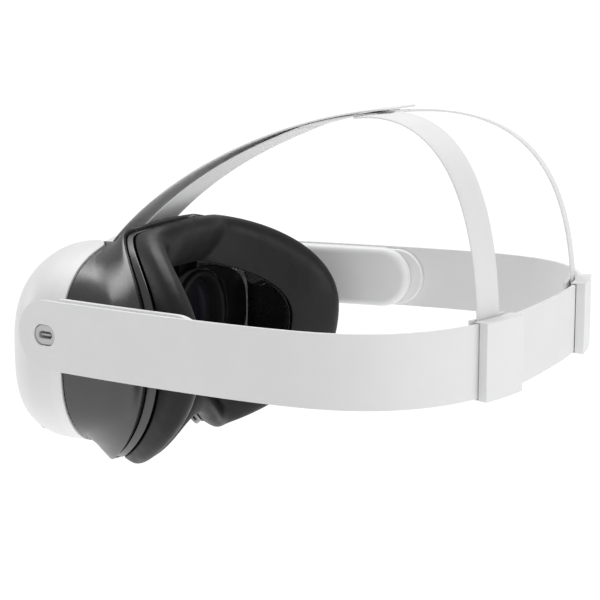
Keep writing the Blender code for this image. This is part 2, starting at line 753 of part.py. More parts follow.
def keeper(side):
    """Rectangular sleeve around the band that also holds the crown strap's end."""
    name = side_name(side)
    middle = band_station(50.0)
    half = 12.5
    tall = BAND_END_RADIUS + 0.9
    hollow = BAND_END_RADIUS + 0.3
    rings_out = []
    rings_in = []
    for along in np.linspace(middle - half, middle + half, 6):
        along = float(along)
        rings_out.append([band_point(along, -4.3, tall, side), band_point(along, -4.3, -tall, side),
                          band_point(along, 5.4, -tall, side), band_point(along, 5.4, tall, side)])
    for along in np.linspace(middle - half - 1, middle + half + 1, 6):
        along = float(along)
        rings_in.append([band_point(along, -0.3, hollow, side),
                         band_point(along, -0.3, -hollow, side),
                         band_point(along, 4.1, -hollow, side),
                         band_point(along, 4.1, tall + 2, side),
                         band_point(along, 1.9, tall + 2, side),
                         band_point(along, 1.9, hollow, side)])
    origin = (side * 50, 176, 0)
    sleeve = place(f"band_keeper_{name}", loft(rings_out), origin, "white_plastic")
    cut(sleeve, place(f"keeper_opening_{name}", loft(rings_in), origin, None))


def band_station(half_width):
    """Distance along the band where its rear part is that far from the middle plane."""
    rear = BAND_POINTS[:, 1] > BAND_TURN_Y + 20
    return float(np.interp(-half_width, -BAND_POINTS[rear, 0], BAND_RUN[rear]))


# ---------------------------------------------------------------- crown strap
STRAP_HALF_WIDTH = 13.0
STRAP_THICKNESS = 0.8


def bezier(points, t):
    a, b, c, d = points
    s = 1 - t
    return a * s ** 3 + b * 3 * t * s * s + c * 3 * t * t * s + d * t ** 3


def ribbon(points, half_widths, across, thickness, steps):
    """A thin strap along a Bezier curve; across gives the width direction at its ends."""
    rings = []
    for i in range(steps + 1):
        t = i / steps
        centre = bezier(points, t)
        ahead = bezier(points, min(1.0, t + 0.01)) - bezier(points, max(0.0, t - 0.01))
        ahead.normalize()
        wide = across[0].lerp(across[1], t)
        wide = (wide - ahead * wide.dot(ahead)).normalized()
        thick = wide.cross(ahead).normalized() * (thickness / 2)
        half = half_widths[0] + (half_widths[1] - half_widths[0]) * t
        wide *= half
        rings.append([centre - wide - thick, centre + wide - thick,
                      centre + wide + thick, centre - wide + thick])
    return loft(rings)


ACROSS = Vector((1, 0, 0))
UPPER_PLY = [Vector((0, -21.4, 24.6)), Vector((0, 0.0, 51.6)), Vector((0, 56.0, 85.5)),
             Vector((0, 117.0, 91.4))]
LOWER_PLY = [Vector((0, -14.2, 22.6)), Vector((0, 15.1, 56.9)), Vector((0, 49.8, 71.6)),
             Vector((0, 74.0, 81.1))]
YOKE = [Vector((0, 74.9, 81.5)), Vector((0, 86.0, 85.1)), Vector((0, 98.0, 87.3)),
        Vector((0, 110.0, 88.4))]


def crown_strap():
    upper = ribbon(UPPER_PLY, (STRAP_HALF_WIDTH, STRAP_HALF_WIDTH), (ACROSS, ACROSS),
                   STRAP_THICKNESS, 22)
    place("front_strap_upper", upper, (0, 60, 80), "white_strap")
    lower = ribbon(LOWER_PLY, (STRAP_HALF_WIDTH, STRAP_HALF_WIDTH), (ACROSS, ACROSS),
                   STRAP_THICKNESS, 16)
    place("front_strap_lower", lower, (0, 30, 60), "white_strap")

    yoke = ribbon(YOKE, (STRAP_HALF_WIDTH, STRAP_HALF_WIDTH), (ACROSS, ACROSS),
                  STRAP_THICKNESS, 8)
    yoke = place("crown_strap", yoke, (0, 100, 85), "white_strap")
    for side in (1, -1):
        points = [Vector((side * 6.5, 104.0, 87.3)), Vector((side * 41.2, 154.5, 94.5)),
                  Vector((side * 50.4, 175.6, 65.5)), Vector((side * 51.6, 176.4, 4.0))]
        top = Vector((-0.9 * side, 0.42, 0.12)) * side
        low = Vector((-0.975 * side, 0.22, 0.0)) * side
        branch = ribbon(points, (7.4, 7.4), (top, low), STRAP_THICKNESS, 26)
        join_to(yoke, place(f"crown_branch_{side_name(side)}", branch, (0, 100, 85), None))


# ---------------------------------------------------------------- assembly
def build():
    shell = front_shell()
    housing = rear_housing()
    seam_gasket()
    face_cushion()
    interface_frame()
    lens_plate()
    plate_screws()
    for side in (1, -1):
        lens_group(side)
        keeper(side)
        hole = arm(side)
        cut(housing, place(f"bush_hole_{side_name(side)}", hole, (0, PIVOT_AXIS_Y, 0), None))
    pinion()
    guide_rails()
    electronics()
    cameras(shell)
    buttons(shell)
    strap_anchor(housing)
    strap_band()
    crown_strap()


build()
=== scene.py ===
"""Looks of the headset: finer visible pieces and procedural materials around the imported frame.

Lengths are in millimetres in the headset's own frame.  Its origin is on the middle plane, at the
station and height of the charging socket: the visor faces -Y, the wearer's left is +X and +Z is
up.  HOME moves that frame to the row frame.  Stations are positions along Y, and insets are
depths below an outer surface.
"""
import json
import math

import bmesh
import bpy
import numpy as np
from mathutils import Matrix, Vector


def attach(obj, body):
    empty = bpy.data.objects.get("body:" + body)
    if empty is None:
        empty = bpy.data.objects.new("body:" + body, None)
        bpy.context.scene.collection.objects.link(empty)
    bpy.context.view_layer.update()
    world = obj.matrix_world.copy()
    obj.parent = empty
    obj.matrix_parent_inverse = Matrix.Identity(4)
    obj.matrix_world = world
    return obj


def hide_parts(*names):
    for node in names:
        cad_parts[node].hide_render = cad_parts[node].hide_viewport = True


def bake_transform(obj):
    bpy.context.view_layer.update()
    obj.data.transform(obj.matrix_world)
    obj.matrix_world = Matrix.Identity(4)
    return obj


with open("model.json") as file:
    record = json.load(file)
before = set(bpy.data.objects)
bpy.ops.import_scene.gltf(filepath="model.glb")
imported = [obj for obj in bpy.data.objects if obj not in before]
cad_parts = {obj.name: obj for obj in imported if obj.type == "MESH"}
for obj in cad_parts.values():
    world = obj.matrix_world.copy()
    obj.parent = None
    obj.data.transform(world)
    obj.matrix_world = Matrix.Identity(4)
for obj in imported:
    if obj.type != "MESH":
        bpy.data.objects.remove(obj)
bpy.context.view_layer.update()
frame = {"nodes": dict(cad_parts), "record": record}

MM = 0.001
HOME = Vector((0.0, -85.0, 0.0))
SIDES = (("left", 1), ("right", -1))


def place(x, y, z):
    """A point of the headset's frame as a point of the row frame, in metres."""
    return (Vector((x, y, z)) + HOME) * MM


# -------- camera
VIEW_BACK = Vector((0.8756, 0.4477, 0.1815))    # from the headset towards the camera
VIEW_RIGHT = Vector((-0.4553, 0.8904, 0.0))
CAMERA_SPOT = Vector((0.6696, 0.3260, 0.1435))
FOCAL_MM = 104.5
SENSOR_MM = 36.0


def make_camera():
    data = bpy.data.cameras.new("studio_camera")
    data.lens = FOCAL_MM
    data.sensor_width = SENSOR_MM
    data.clip_start = 0.01
    camera = bpy.data.objects.new("studio_camera", data)
    back = VIEW_BACK.normalized()
    right = VIEW_RIGHT.normalized()
    up = back.cross(right).normalized()
    turn = Matrix((right, up, back)).transposed().to_4x4()
    camera.matrix_world = Matrix.Translation(CAMERA_SPOT) @ turn
    bpy.context.scene.collection.objects.link(camera)
    bpy.context.scene.camera = camera


def area_light(name, spot, aim, size, watts):
    data = bpy.data.lights.new(name, "AREA")
    data.shape = "RECTANGLE"
    data.size, data.size_y = size
    data.energy = watts
    lamp = bpy.data.objects.new(name, data)
    lamp.location = spot
    lamp.rotation_euler = (Vector(aim) - Vector(spot)).to_track_quat("-Z", "Y").to_euler()
    bpy.context.scene.collection.objects.link(lamp)


PURE_WHITE = (1.0, 1.0, 1.0, 1.0)
FLOOR_BASE = (0.02, 0.02, 0.02, 1.0)
SKY_STRENGTH = 0.46         # what the sky gives as light
BACKDROP_STRENGTH = 1.1     # what the camera sees of it
FLOOR_STRENGTH = 1.03
FLOOR_HALF_SIZE = 6.0
FLOOR_Z = -0.16


def make_studio():
    """A white sky, a self-lit white floor and three soft boxes."""
    scene = bpy.context.scene
    world = bpy.data.worlds.new("studio")
    world.use_nodes = True
    tree = world.node_tree
    ground = tree.nodes["Background"]
    ground.inputs["Color"].default_value = PURE_WHITE
    seen = tree.nodes.new("ShaderNodeLightPath")
    level = tree.nodes.new("ShaderNodeMapRange")
    level.inputs["To Min"].default_value = SKY_STRENGTH
    level.inputs["To Max"].default_value = BACKDROP_STRENGTH
    tree.links.new(seen.outputs["Is Camera Ray"], level.inputs["Value"])
    tree.links.new(level.outputs["Result"], ground.inputs["Strength"])
    scene.world = world
    scene.view_settings.view_transform = "Standard"
    middle = place(0, 40, 0)
    area_light("key_top", (-0.45, -0.35, 1.3), middle, (1.0, 1.2), 14.0)
    area_light("fill_front", (0.1, -1.5, 0.45), middle, (0.8, 0.6), 3.5)
    area_light("fill_rear", (0.1, 1.6, 0.5), middle, (1.0, 0.6), 7.0)

    bm = bmesh.new()
    bmesh.ops.create_grid(bm, x_segments=8, y_segments=8, size=FLOOR_HALF_SIZE)
    bmesh.ops.translate(bm, verts=bm.verts, vec=(0, 0, FLOOR_Z))
    mesh = bpy.data.meshes.new("studio_floor")
    bm.to_mesh(mesh)
    bm.free()
    floor = bpy.data.objects.new("studio_floor", mesh)
    scene.collection.objects.link(floor)
    paint = bpy.data.materials.new("studio_floor")
    paint.use_nodes = True
    shader = paint.node_tree.nodes["Principled BSDF"]
    shader.inputs["Base Color"].default_value = FLOOR_BASE
    shader.inputs["Roughness"].default_value = 1.0
    shader.inputs["Emission Color"].default_value = PURE_WHITE
    shader.inputs["Emission Strength"].default_value = FLOOR_STRENGTH
    mesh.materials.append(paint)


make_camera()
make_studio()


# -------- materials
class Finish:
    """A material under construction: short names for the few nodes that the finishes share."""

    def __init__(self, name, roughness, metallic=0.0):
        self.material = bpy.data.materials.new(name)
        self.material.use_nodes = True
        self.tree = self.material.node_tree
        self.shader = self.tree.nodes["Principled BSDF"]
        self.put("Roughness", roughness)
        self.put("Metallic", metallic)
        self.where = self.tree.nodes.new("ShaderNodeTexCoord").outputs["Object"]

    def node(self, kind, **settings):
        item = self.tree.nodes.new(kind)
        for key, value in settings.items():
            setattr(item, key, value)
        return item

    def link(self, out, into):
        self.tree.links.new(out, into)

    def put(self, name, value):
        """Give an input of the shader a number or the output of another node."""
        if isinstance(value, float):
            self.shader.inputs[name].default_value = value
        else:
            self.link(value, self.shader.inputs[name])

    def noise(self, size_mm, detail=3.0, where=None):
        item = self.node("ShaderNodeTexNoise")
        item.inputs["Scale"].default_value = 1000.0 / size_mm
        item.inputs["Detail"].default_value = detail
        self.link(where or self.where, item.inputs["Vector"])
        return item.outputs["Fac"]

    def ramp(self, value, low, high, start=0.3, end=0.7):
        """Colours from low to high as the value goes from start to end."""
        item = self.node("ShaderNodeValToRGB")
        item.color_ramp.elements[0].position = start
        item.color_ramp.elements[1].position = end
        item.color_ramp.elements[0].color = (*low, 1.0)
        item.color_ramp.elements[1].color = (*high, 1.0)
        self.link(value, item.inputs["Fac"])
        return item.outputs["Color"]

    def spread(self, value, low, high):
        """Stretch the middle of a noise over a range of values."""
        item = self.node("ShaderNodeMapRange")
        item.inputs["From Min"].default_value = 0.3
        item.inputs["From Max"].default_value = 0.7
        item.inputs["To Min"].default_value = low
        item.inputs["To Max"].default_value = high
        self.link(value, item.inputs["Value"])
        return item.outputs["Result"]

    def math(self, operation, a, b):
        item = self.node("ShaderNodeMath", operation=operation)
        for value, socket in zip((a, b), item.inputs):
            if isinstance(value, (int, float)):
                socket.default_value = value
            else:
                self.link(value, socket)
        return item.outputs["Value"]

    def mix(self, share, a, b):
        item = self.node("ShaderNodeMix", data_type="RGBA")
        self.link(share, item.inputs["Factor"])
        for value, socket in ((a, item.inputs["A"]), (b, item.inputs["B"])):
            if isinstance(value, tuple):
                socket.default_value = (*value, 1.0)
            else:
                self.link(value, socket)
        return item.outputs["Result"]

    def edges(self):
        """White along worn outer edges, black elsewhere."""
        pointed = self.node("ShaderNodeNewGeometry").outputs["Pointiness"]
        return self.ramp(pointed, (0, 0, 0), (1, 1, 1), 0.515, 0.56)

    def bump(self, height, depth_mm):
        """Add relief on top of whatever relief the shader already has."""
        item = self.node("ShaderNodeBump")
        item.inputs["Strength"].default_value = 1.0
        item.inputs["Distance"].default_value = depth_mm * MM
        self.link(height, item.inputs["Height"])
        if self.shader.inputs["Normal"].is_linked:
            before = self.shader.inputs["Normal"].links[0].from_socket
            self.link(before, item.inputs["Normal"])
        self.link(item.outputs["Normal"], self.shader.inputs["Normal"])


def tint(colour, gain):
    """A colour made paler or darker by a factor."""
    return tuple(min(1.0, c * gain) for c in colour)


def moulded(name, colour, roughness, grain_mm, grain_depth, wear=0.0, spread=0.03, coat=0.0,
            shine=0.5):
    """Injection-moulded plastic: fine spark texture, faint clouding and paler worn edges."""
    finish = Finish(name, roughness)
    finish.put("Specular IOR Level", shine)
    cloud = finish.noise(22.0, 4.0)
    base = finish.ramp(cloud, tint(colour, 1 - spread), tint(colour, 1 + spread))
    if wear:
        base = finish.mix(finish.edges(), base, tint(colour, 1 + wear))
    finish.put("Base Color", base)
    rub = finish.noise(7.0, 5.0)
    finish.put("Roughness", finish.spread(rub, roughness * 0.88, roughness * 1.14))
    finish.bump(finish.noise(grain_mm, 2.0), grain_depth)
    finish.put("Coat Weight", coat)
    return finish.material


def webbing(name, colour, pitch_mm, depth_mm):
    """Flat woven elastic: warp ribs along the strap and finer weft across it."""
    finish = Finish(name, 0.62)
    run = finish.node("ShaderNodeAttribute", attribute_name="run").outputs["Vector"]
    split = finish.node("ShaderNodeSeparateXYZ")
    finish.link(run, split.inputs["Vector"])
    turns = 2 * math.pi / pitch_mm
    warp = finish.math("SINE", finish.math("MULTIPLY", split.outputs["Y"], turns), 0.0)
    weft = finish.math("SINE", finish.math("MULTIPLY", split.outputs["X"], turns * 1.6), 0.0)
    weave = finish.math("MULTIPLY", warp, weft)
    shade = finish.math("ADD", finish.math("MULTIPLY", weave, 0.06), finish.noise(16.0, 4.0))
    base = finish.ramp(shade, tint(colour, 0.985), tint(colour, 1.012))
    finish.put("Base Color", base)
    finish.put("Roughness", finish.spread(finish.noise(3.0, 4.0), 0.55, 0.7))
    finish.bump(weave, depth_mm)
    finish.bump(finish.noise(0.5, 2.0), depth_mm * 0.6)
    finish.put("Sheen Weight", 0.15)
    finish.put("Sheen Roughness", 0.5)
    return finish.material


def foam(name, colour):
    """Skinned foam: soft closed cells under a satin skin."""
    finish = Finish(name, 0.42)
    cloud = finish.noise(14.0, 5.0)
    base = finish.ramp(cloud, tint(colour, 0.85), tint(colour, 1.18))
    finish.put("Base Color", base)
    finish.put("Roughness", finish.spread(finish.noise(5.0, 4.0), 0.38, 0.48))
    cells = finish.node("ShaderNodeTexVoronoi", feature="SMOOTH_F1")
    cells.inputs["Scale"].default_value = 1000.0 / 0.7
    finish.link(finish.where, cells.inputs["Vector"])
    finish.bump(cells.outputs["Distance"], 0.025)
    finish.bump(finish.noise(9.0, 2.0), 0.25)
    finish.put("Specular IOR Level", 0.3)
    return finish.material


LENS_RADIUS_MM = 19.0
LENS_RING_MM = 0.6


def optic(name, centre_x, centre_z):
    """Dark coated lens with fine rings round its own axis."""
    finish = Finish(name, 0.08)
    finish.put("Specular IOR Level", 0.3)
    split = finish.node("ShaderNodeSeparateXYZ")
    finish.link(finish.where, split.inputs["Vector"])
    across = finish.math("SUBTRACT", split.outputs["X"], centre_x * MM)
    up = finish.math("SUBTRACT", split.outputs["Z"], centre_z * MM)
    reach = finish.math("SQRT", finish.math("ADD", finish.math("MULTIPLY", across, across),
                                            finish.math("MULTIPLY", up, up)), 0.0)
    rings = finish.math("SINE", finish.math("MULTIPLY", reach, 2 * math.pi / (LENS_RING_MM * MM)), 0.0)
    base = finish.ramp(finish.math("MULTIPLY", reach, 1 / (LENS_RADIUS_MM * MM)),
                       (0.006, 0.006, 0.010), (0.012, 0.012, 0.014), 0.1, 1.0)
    finish.put("Base Color", base)
    finish.bump(rings, 0.004)
    finish.put("Coat Weight", 0.2)
    finish.put("Coat Roughness", 0.03)
    return finish.material


def metal(name, colour, roughness, grain_mm):
    """Metal with fine tool lines."""
    finish = Finish(name, roughness, 1.0)
    stretch = finish.node("ShaderNodeMapping")
    stretch.inputs["Scale"].default_value = (0.08, 1.0, 1.0)
    finish.link(finish.where, stretch.inputs["Vector"])
    lines = finish.noise(grain_mm, 3.0, stretch.outputs["Vector"])
    finish.put("Base Color", finish.ramp(lines, tint(colour, 0.88), tint(colour, 1.1)))
    finish.put("Roughness", finish.spread(lines, roughness * 0.8, roughness * 1.3))
    finish.bump(lines, 0.006)
    return finish.material


def circuit(name):
    """Solder mask with copper traces and tinned pads."""
    finish = Finish(name, 0.35)
    traces = finish.node("ShaderNodeTexBrick")
    traces.inputs["Scale"].default_value = 200.0
    traces.inputs["Color1"].default_value = (0.02, 0.11, 0.05, 1.0)
    traces.inputs["Color2"].default_value = (0.015, 0.08, 0.04, 1.0)
    traces.inputs["Mortar"].default_value = (0.05, 0.22, 0.1, 1.0)
    turn = finish.node("ShaderNodeMapping")
    turn.inputs["Rotation"].default_value = (math.radians(90), 0, 0)
    finish.link(finish.where, turn.inputs["Vector"])
    finish.link(turn.outputs["Vector"], traces.inputs["Vector"])
    pads = finish.node("ShaderNodeTexVoronoi")
    pads.inputs["Scale"].default_value = 260.0
    finish.link(finish.where, pads.inputs["Vector"])
    dots = finish.ramp(pads.outputs["Distance"], (1, 1, 1), (0, 0, 0), 0.1, 0.16)
    finish.put("Base Color", finish.mix(dots, traces.outputs["Color"], (0.62, 0.55, 0.4)))
    finish.bump(traces.outputs["Fac"], 0.03)
    return finish.material


WHITE = (0.80, 0.80, 0.805)
GRAPHITE = (0.012, 0.0115, 0.0115)
DEEP_BLACK = (0.006, 0.006, 0.007)
FOAM_BLACK = (0.009, 0.0088, 0.0088)
WINDOW_BLACK = (0.010, 0.010, 0.013)
STEEL = (0.56, 0.56, 0.58)
ALUMINIUM = (0.62, 0.62, 0.64)
CELL_GREY = (0.19, 0.19, 0.21)
SOCKET_GREY = (0.58, 0.575, 0.577)
CONTACT_GREY = (0.46, 0.455, 0.457)

LOOKS = {
    "white_plastic": moulded("satin_white", WHITE, 0.42, 0.45, 0.006, wear=0.03, spread=0.012),
    "white_strap": webbing("white_webbing", WHITE, 0.9, 0.006),
    "dark_plastic": moulded("satin_graphite", GRAPHITE, 0.28, 0.4, 0.006,
                            wear=0.35, spread=0.06, shine=1.0),
    "black_plastic": moulded("matt_black", DEEP_BLACK, 0.6, 0.5, 0.006,
                             wear=0.3, spread=0.1, shine=0.3),
    "dark_foam": foam("skinned_foam", FOAM_BLACK),
    "lens_glass": moulded("dark_window", WINDOW_BLACK, 0.07, 3.0, 0.002, spread=0.1, coat=0.5),
    "steel": metal("turned_steel", STEEL, 0.28, 0.5),
    "circuit_green": circuit("circuit_board"),
    "battery_grey": moulded("cell_wrap", CELL_GREY, 0.4, 2.5, 0.05, wear=0.2, spread=0.08),
    "aluminium": metal("milled_aluminium", ALUMINIUM, 0.36, 0.7),
    "port_grey": moulded("socket_grey", SOCKET_GREY, 0.4, 0.4, 0.01),
}

# every CAD piece gets its look first; the pieces made below then stand in for some of them
for entry in frame["record"]["subparts"]:
    holder = frame["nodes"][entry["node"]]
    for item in holder.material_slots:
        item.link = "OBJECT"
        item.material = LOOKS[entry["material_slot"]]


# -------- making pieces
def loft(rings, wrap=False, rungs=None, run=None):
    """Bridge closed rings of equal length; wrap joins the last ring to the first.

    rungs lists pairs of ring positions between which an end face is divided, so that it can
    follow a curved band.  run holds, for each ring, each point's distance along and across
    the strap, which the weave follows.
    """
    bm = bmesh.new()
    layer = bm.verts.layers.float_vector.new("run") if run else None
    loops = []
    for k, ring in enumerate(rings):
        loop = []
        for i, point in enumerate(ring):
            vert = bm.verts.new(point)
            if layer:
                vert[layer] = Vector(run[k][i])
            loop.append(vert)
        loops.append(loop)
    count = len(rings[0])
    pairs = list(zip(loops, loops[1:]))
    if wrap:
        pairs.append((loops[-1], loops[0]))
    for first, second in pairs:
        for i in range(count):
            j = (i + 1) % count
            bm.faces.new((first[i], first[j], second[j], second[i]))
    if not wrap:
        for ends in (loops[0], loops[-1]):
            if rungs is None:
                bm.faces.new(ends)
                continue
            for (a, b), (c, d) in zip(rungs, rungs[1:]):
                bm.faces.new([ends[i] for i in dict.fromkeys((a, b, d, c))])
    return bm


def shape(name, bm, sharp=35.0):
    """A mesh object in the row frame from a bmesh in headset millimetres."""
    bmesh.ops.recalc_face_normals(bm, faces=bm.faces)
    bmesh.ops.translate(bm, verts=bm.verts, vec=HOME)
    bmesh.ops.scale(bm, verts=bm.verts, vec=(MM, MM, MM))
    mesh = bpy.data.meshes.new(name)
    bm.to_mesh(mesh)
    bm.free()
    mesh.shade_smooth()
    mesh.set_sharp_from_angle(angle=math.radians(sharp))
    item = bpy.data.objects.new(name, mesh)
    bpy.context.scene.collection.objects.link(item)
    return item


def carve(target, *cutters, operation="DIFFERENCE"):
    """Cut shapes out of a target, or unite them with it, and drop the cutters."""
    for cutter in cutters:
        boolean = target.modifiers.new("boolean", "BOOLEAN")
        boolean.operation = operation
        boolean.solver = "EXACT"
        boolean.object = cutter
        apply_all(target)
        bpy.data.objects.remove(cutter, do_unlink=True)


def apply_all(target):
    """Replace the mesh with what its modifiers make of it."""
    graph = bpy.context.evaluated_depsgraph_get()
    graph.update()
    made = bpy.data.meshes.new_from_object(target.evaluated_get(graph))
    target.modifiers.clear()
    target.data = made


SOFTEN_ANGLE = 38.0


def soften(target, width, segments=3):
    """Round every sharp edge and keep the broad faces flat in the shading."""
    bevel = target.modifiers.new("soften", "BEVEL")
    bevel.width = width * MM
    bevel.segments = segments
    bevel.limit_method = "ANGLE"
    bevel.angle_limit = math.radians(SOFTEN_ANGLE)
    flat = target.modifiers.new("flat", "WEIGHTED_NORMAL")
    flat.mode = "FACE_AREA"
    flat.weight = 90
    apply_all(target)
    target.data.shade_smooth()


def finish_piece(item, body, slot, *nodes, material=None):
    """Give a piece its look, hide the CAD nodes that it stands for and fix it to a body."""
    item.data.materials.clear()
    item.data.materials.append(material or LOOKS[slot])
    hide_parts(*nodes)
    if body:
        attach(item, body)


AXIS_TURN = {
    "x": Matrix.Rotation(math.radians(90), 3, "Y"),
    "y": Matrix.Rotation(math.radians(-90), 3, "X"),
    "z": Matrix.Identity(3),
}


def turned(start, axis, profile, sides=96, wrap=True):
    """A body turned from a profile of (radius, height) points round +axis."""
    rings = []
    for radius, height in profile:
        ring = []
        for i in range(sides):
            angle = 2 * math.pi * i / sides
            point = Vector((radius * math.cos(angle), radius * math.sin(angle), height))
            ring.append(AXIS_TURN[axis] @ point + Vector(start))
        rings.append(ring)
    return loft(rings, wrap=wrap)


def block(low, high):
    """A box between two corners."""
    bm = bmesh.new()
    bmesh.ops.create_cube(bm, size=1.0)
    bmesh.ops.scale(bm, verts=bm.verts, vec=Vector(high) - Vector(low))
    bmesh.ops.translate(bm, verts=bm.verts, vec=(Vector(low) + Vector(high)) / 2)
    return bm


def spline(points, steps):
    """Catmull-Rom curve through rows of numbers, with steps points per span."""
    rows = np.array(points, float)
    last = len(rows) - 1
    result = []
    for k in range(last):
        a, b, c, d = (rows[min(max(k + j, 0), last)] for j in (-1, 0, 1, 2))
        for i in range(steps):
            t = i / steps
            result.append(0.5 * (2 * b + (c - a) * t + (2 * a - 5 * b + 4 * c - d) * t * t
                                 + (3 * b - 3 * c + d - a) * t ** 3))
    result.append(rows[-1])
    return result


# -------- the visor's skin
VISOR_HALF_WIDTH = 82.0
VISOR_HALF_HEIGHT = 44.9
VISOR_MIDDLE_Z = -15.3
VISOR_BULGE_START = -16.0
VISOR_BULGE = 39.4
PLAN_POWER = 1.8
FRONT_POWER = 2.9
WALL = 2.2
VALLEY_DEPTH = 4.8
VALLEY_WIDTH = 17.0
RING_POINTS = 176


def super_cos(angle, power):
    """Across coordinate of a superellipse of half size one."""
    return math.copysign(abs(math.cos(angle)) ** (2 / power), math.cos(angle))


def super_sin(angle, power):
    """Up coordinate of a superellipse of half size one."""
    return math.copysign(abs(math.sin(angle)) ** (2 / power), math.sin(angle))


def valley(x, up):
    """Depth of the dip in the middle of the visor's top."""
    return VALLEY_DEPTH * math.exp(-(x / VALLEY_WIDTH) ** 2) * max(0.0, up) ** 3


def skin_point(angle, y, inset):
    """The point of the visor's skin at one angle of the front view and one station."""
    across = super_cos(angle, FRONT_POWER)
    up = super_sin(angle, FRONT_POWER)
    depth = VISOR_BULGE - inset
    forward = min(1.0, max(0.0, (VISOR_BULGE_START - y) / depth)) ** PLAN_POWER
    low, high = 0.0, 1.0
    for _ in range(28):
        scale = (low + high) / 2
        plan = (scale * abs(across)) ** PLAN_POWER + forward
        if plan ** (FRONT_POWER / PLAN_POWER) + (scale * abs(up)) ** FRONT_POWER > 1:
            high = scale
        else:
            low = scale
    x = (VISOR_HALF_WIDTH - inset) * low * across
    z = VISOR_MIDDLE_Z + (VISOR_HALF_HEIGHT - inset) * low * up - valley(x, up)
    return Vector((x, y, z))


def even_angles(outline, count):
    """Angles that space a closed outline evenly along its length."""
    dense = [2 * math.pi * i / 2880 for i in range(2881)]
    points = np.array([outline(a) for a in dense])
    run = np.concatenate([[0.0], np.cumsum(np.linalg.norm(np.diff(points, axis=0), axis=1))])
    return [float(a) for a in np.interp(run[-1] * np.arange(count) / count, run, dense)]


ANGLES = even_angles(lambda a: tuple(skin_point(a, 0.0, 0.0)), RING_POINTS)


def seam_y(angle):
    """Station of the joint between front shell and rear housing."""
    point = skin_point(angle, 0.0, 0.0)
    spread = 1 - (point.x / VISOR_HALF_WIDTH) ** 2
    if math.sin(angle) > 0:
        return -2.0 - 10.0 * spread - 15.5 * math.exp(-(point.x / 26.0) ** 4)
    return -2.0 - 16.0 * spread ** 2


SEAMS = [seam_y(a) for a in ANGLES]


def disc(spot, turn, radius, low, high, sides=48):
    """A round plate across a direction, between two depths."""
    bm = turned((0, 0, 0), "z", [(radius, low), (radius, high)], sides, wrap=False)
    bmesh.ops.rotate(bm, verts=bm.verts, matrix=turn)
    bmesh.ops.translate(bm, verts=bm.verts, vec=spot)
    return bm


CAMERA_SPOTS = [("upper", 0.62, -44.0), ("lower", -0.72, -30.0)]
CAMERA_HOLE_RADIUS = 6.3
CAMERA_WINDOW_RADIUS = 6.0
POWER_SPOT = Vector((-VISOR_HALF_WIDTH, -12.0, -24.0))
POWER_HOLE_RADIUS = 4.3
POWER_PROFILE = [(5.0, 5.0), (5.0, 4.0), (4.0, 4.0), (4.0, 0.35), (3.45, 0.0), (2.4, 0.1),
                 (0.6, 0.25)]
VOLUME_Y = -28.0
VOLUME_X = 9.0
VOLUME_HOLE_RADIUS = 3.8
VOLUME_PROFILE = [(0.6, 0.28), (2.2, 0.12), (3.1, 0.0), (3.5, 0.35), (3.5, 4.4), (4.6, 4.4),
                  (4.6, 5.4), (0.5, 5.4)]


def camera_places():
    """Name, spot on the skin and turn of each tracking camera."""
    for label, turn, y in CAMERA_SPOTS:
        for side_name, side in SIDES:
            angle = turn if side > 0 else math.pi - turn
            spot = skin_point(angle, y, 0.0)
            along = skin_point(angle + 0.02, y, 0.0) - skin_point(angle - 0.02, y, 0.0)
            back = skin_point(angle, y + 0.5, 0.0) - skin_point(angle, y - 0.5, 0.0)
            normal = along.cross(back).normalized()
            if normal.y > 0:
                normal.negate()
            matrix = Vector((0, 0, 1)).rotation_difference(normal).to_matrix()
            yield f"{label}_{side_name}", spot, matrix


def drill(target, start, axis, radius, depth, sides=64):
    """Cut a round hole of one depth, from start along +axis."""
    hole = turned(start, axis, [(radius, 0), (radius, depth)], sides, wrap=False)
    carve(target, shape("hole", hole))


OUTER_STEPS = 26
INNER_STEPS = 10


def front_shell():
    """The white front half of the visor, with its camera windows."""
    def rings(inset, turns):
        reach = VISOR_BULGE_START - VISOR_BULGE + inset
        result = []
        for turn in turns:
            share = math.sin(math.radians(turn))
            result.append([skin_point(a, seam + (reach - seam) * share, inset)
                           for a, seam in zip(ANGLES, SEAMS)])
        return result

    outer = rings(0.0, [90 * i / OUTER_STEPS for i in range(OUTER_STEPS)] + [88.2, 89.6])
    inner = rings(WALL, [90 * i / INNER_STEPS for i in range(INNER_STEPS)] + [89.0])
    shell = shape("visor_front", loft(list(reversed(inner)) + outer))
    for name, spot, matrix in camera_places():
        carve(shell, shape("hole", disc(spot, matrix, CAMERA_HOLE_RADIUS, -6, 4)))
        window = shape("camera_lens_cover_" + name,
                       disc(spot, matrix, CAMERA_WINDOW_RADIUS, -1.8, -0.4, 64))
        soften(window, 0.35)
        finish_piece(window, "visor", "lens_glass", "camera_window_" + name)
    x, y, z = POWER_SPOT
    drill(shell, (x - 3, y, z), "x", POWER_HOLE_RADIUS, 8)
    for x in (VOLUME_X, -VOLUME_X):
        start = (x, VOLUME_Y, skin_point(-math.pi / 2, VOLUME_Y, 0.0).z - 2)
        drill(shell, start, "z", VOLUME_HOLE_RADIUS, 7)
    soften(shell, 0.35)
    finish_piece(shell, "visor", "white_plastic", "front_shell")


def buttons():
    """Round button caps with a softly dished face."""
    x, y, z = POWER_SPOT
    profile = reversed(POWER_PROFILE)
    cap = shape("power_cap", turned((x - 0.3, y, z), "x", profile, 64, wrap=False))
    finish_piece(cap, "power_key", "white_plastic", "power_button")
    for label, x in (("up", VOLUME_X), ("down", -VOLUME_X)):
        start = (x, VOLUME_Y, skin_point(-math.pi / 2, VOLUME_Y, 0.0).z)
        cap = shape(f"volume_cap_{label}", turned(start, "z", VOLUME_PROFILE, 64, wrap=False))
        finish_piece(cap, f"volume_{label}_key", "white_plastic", f"volume_{label}_button")


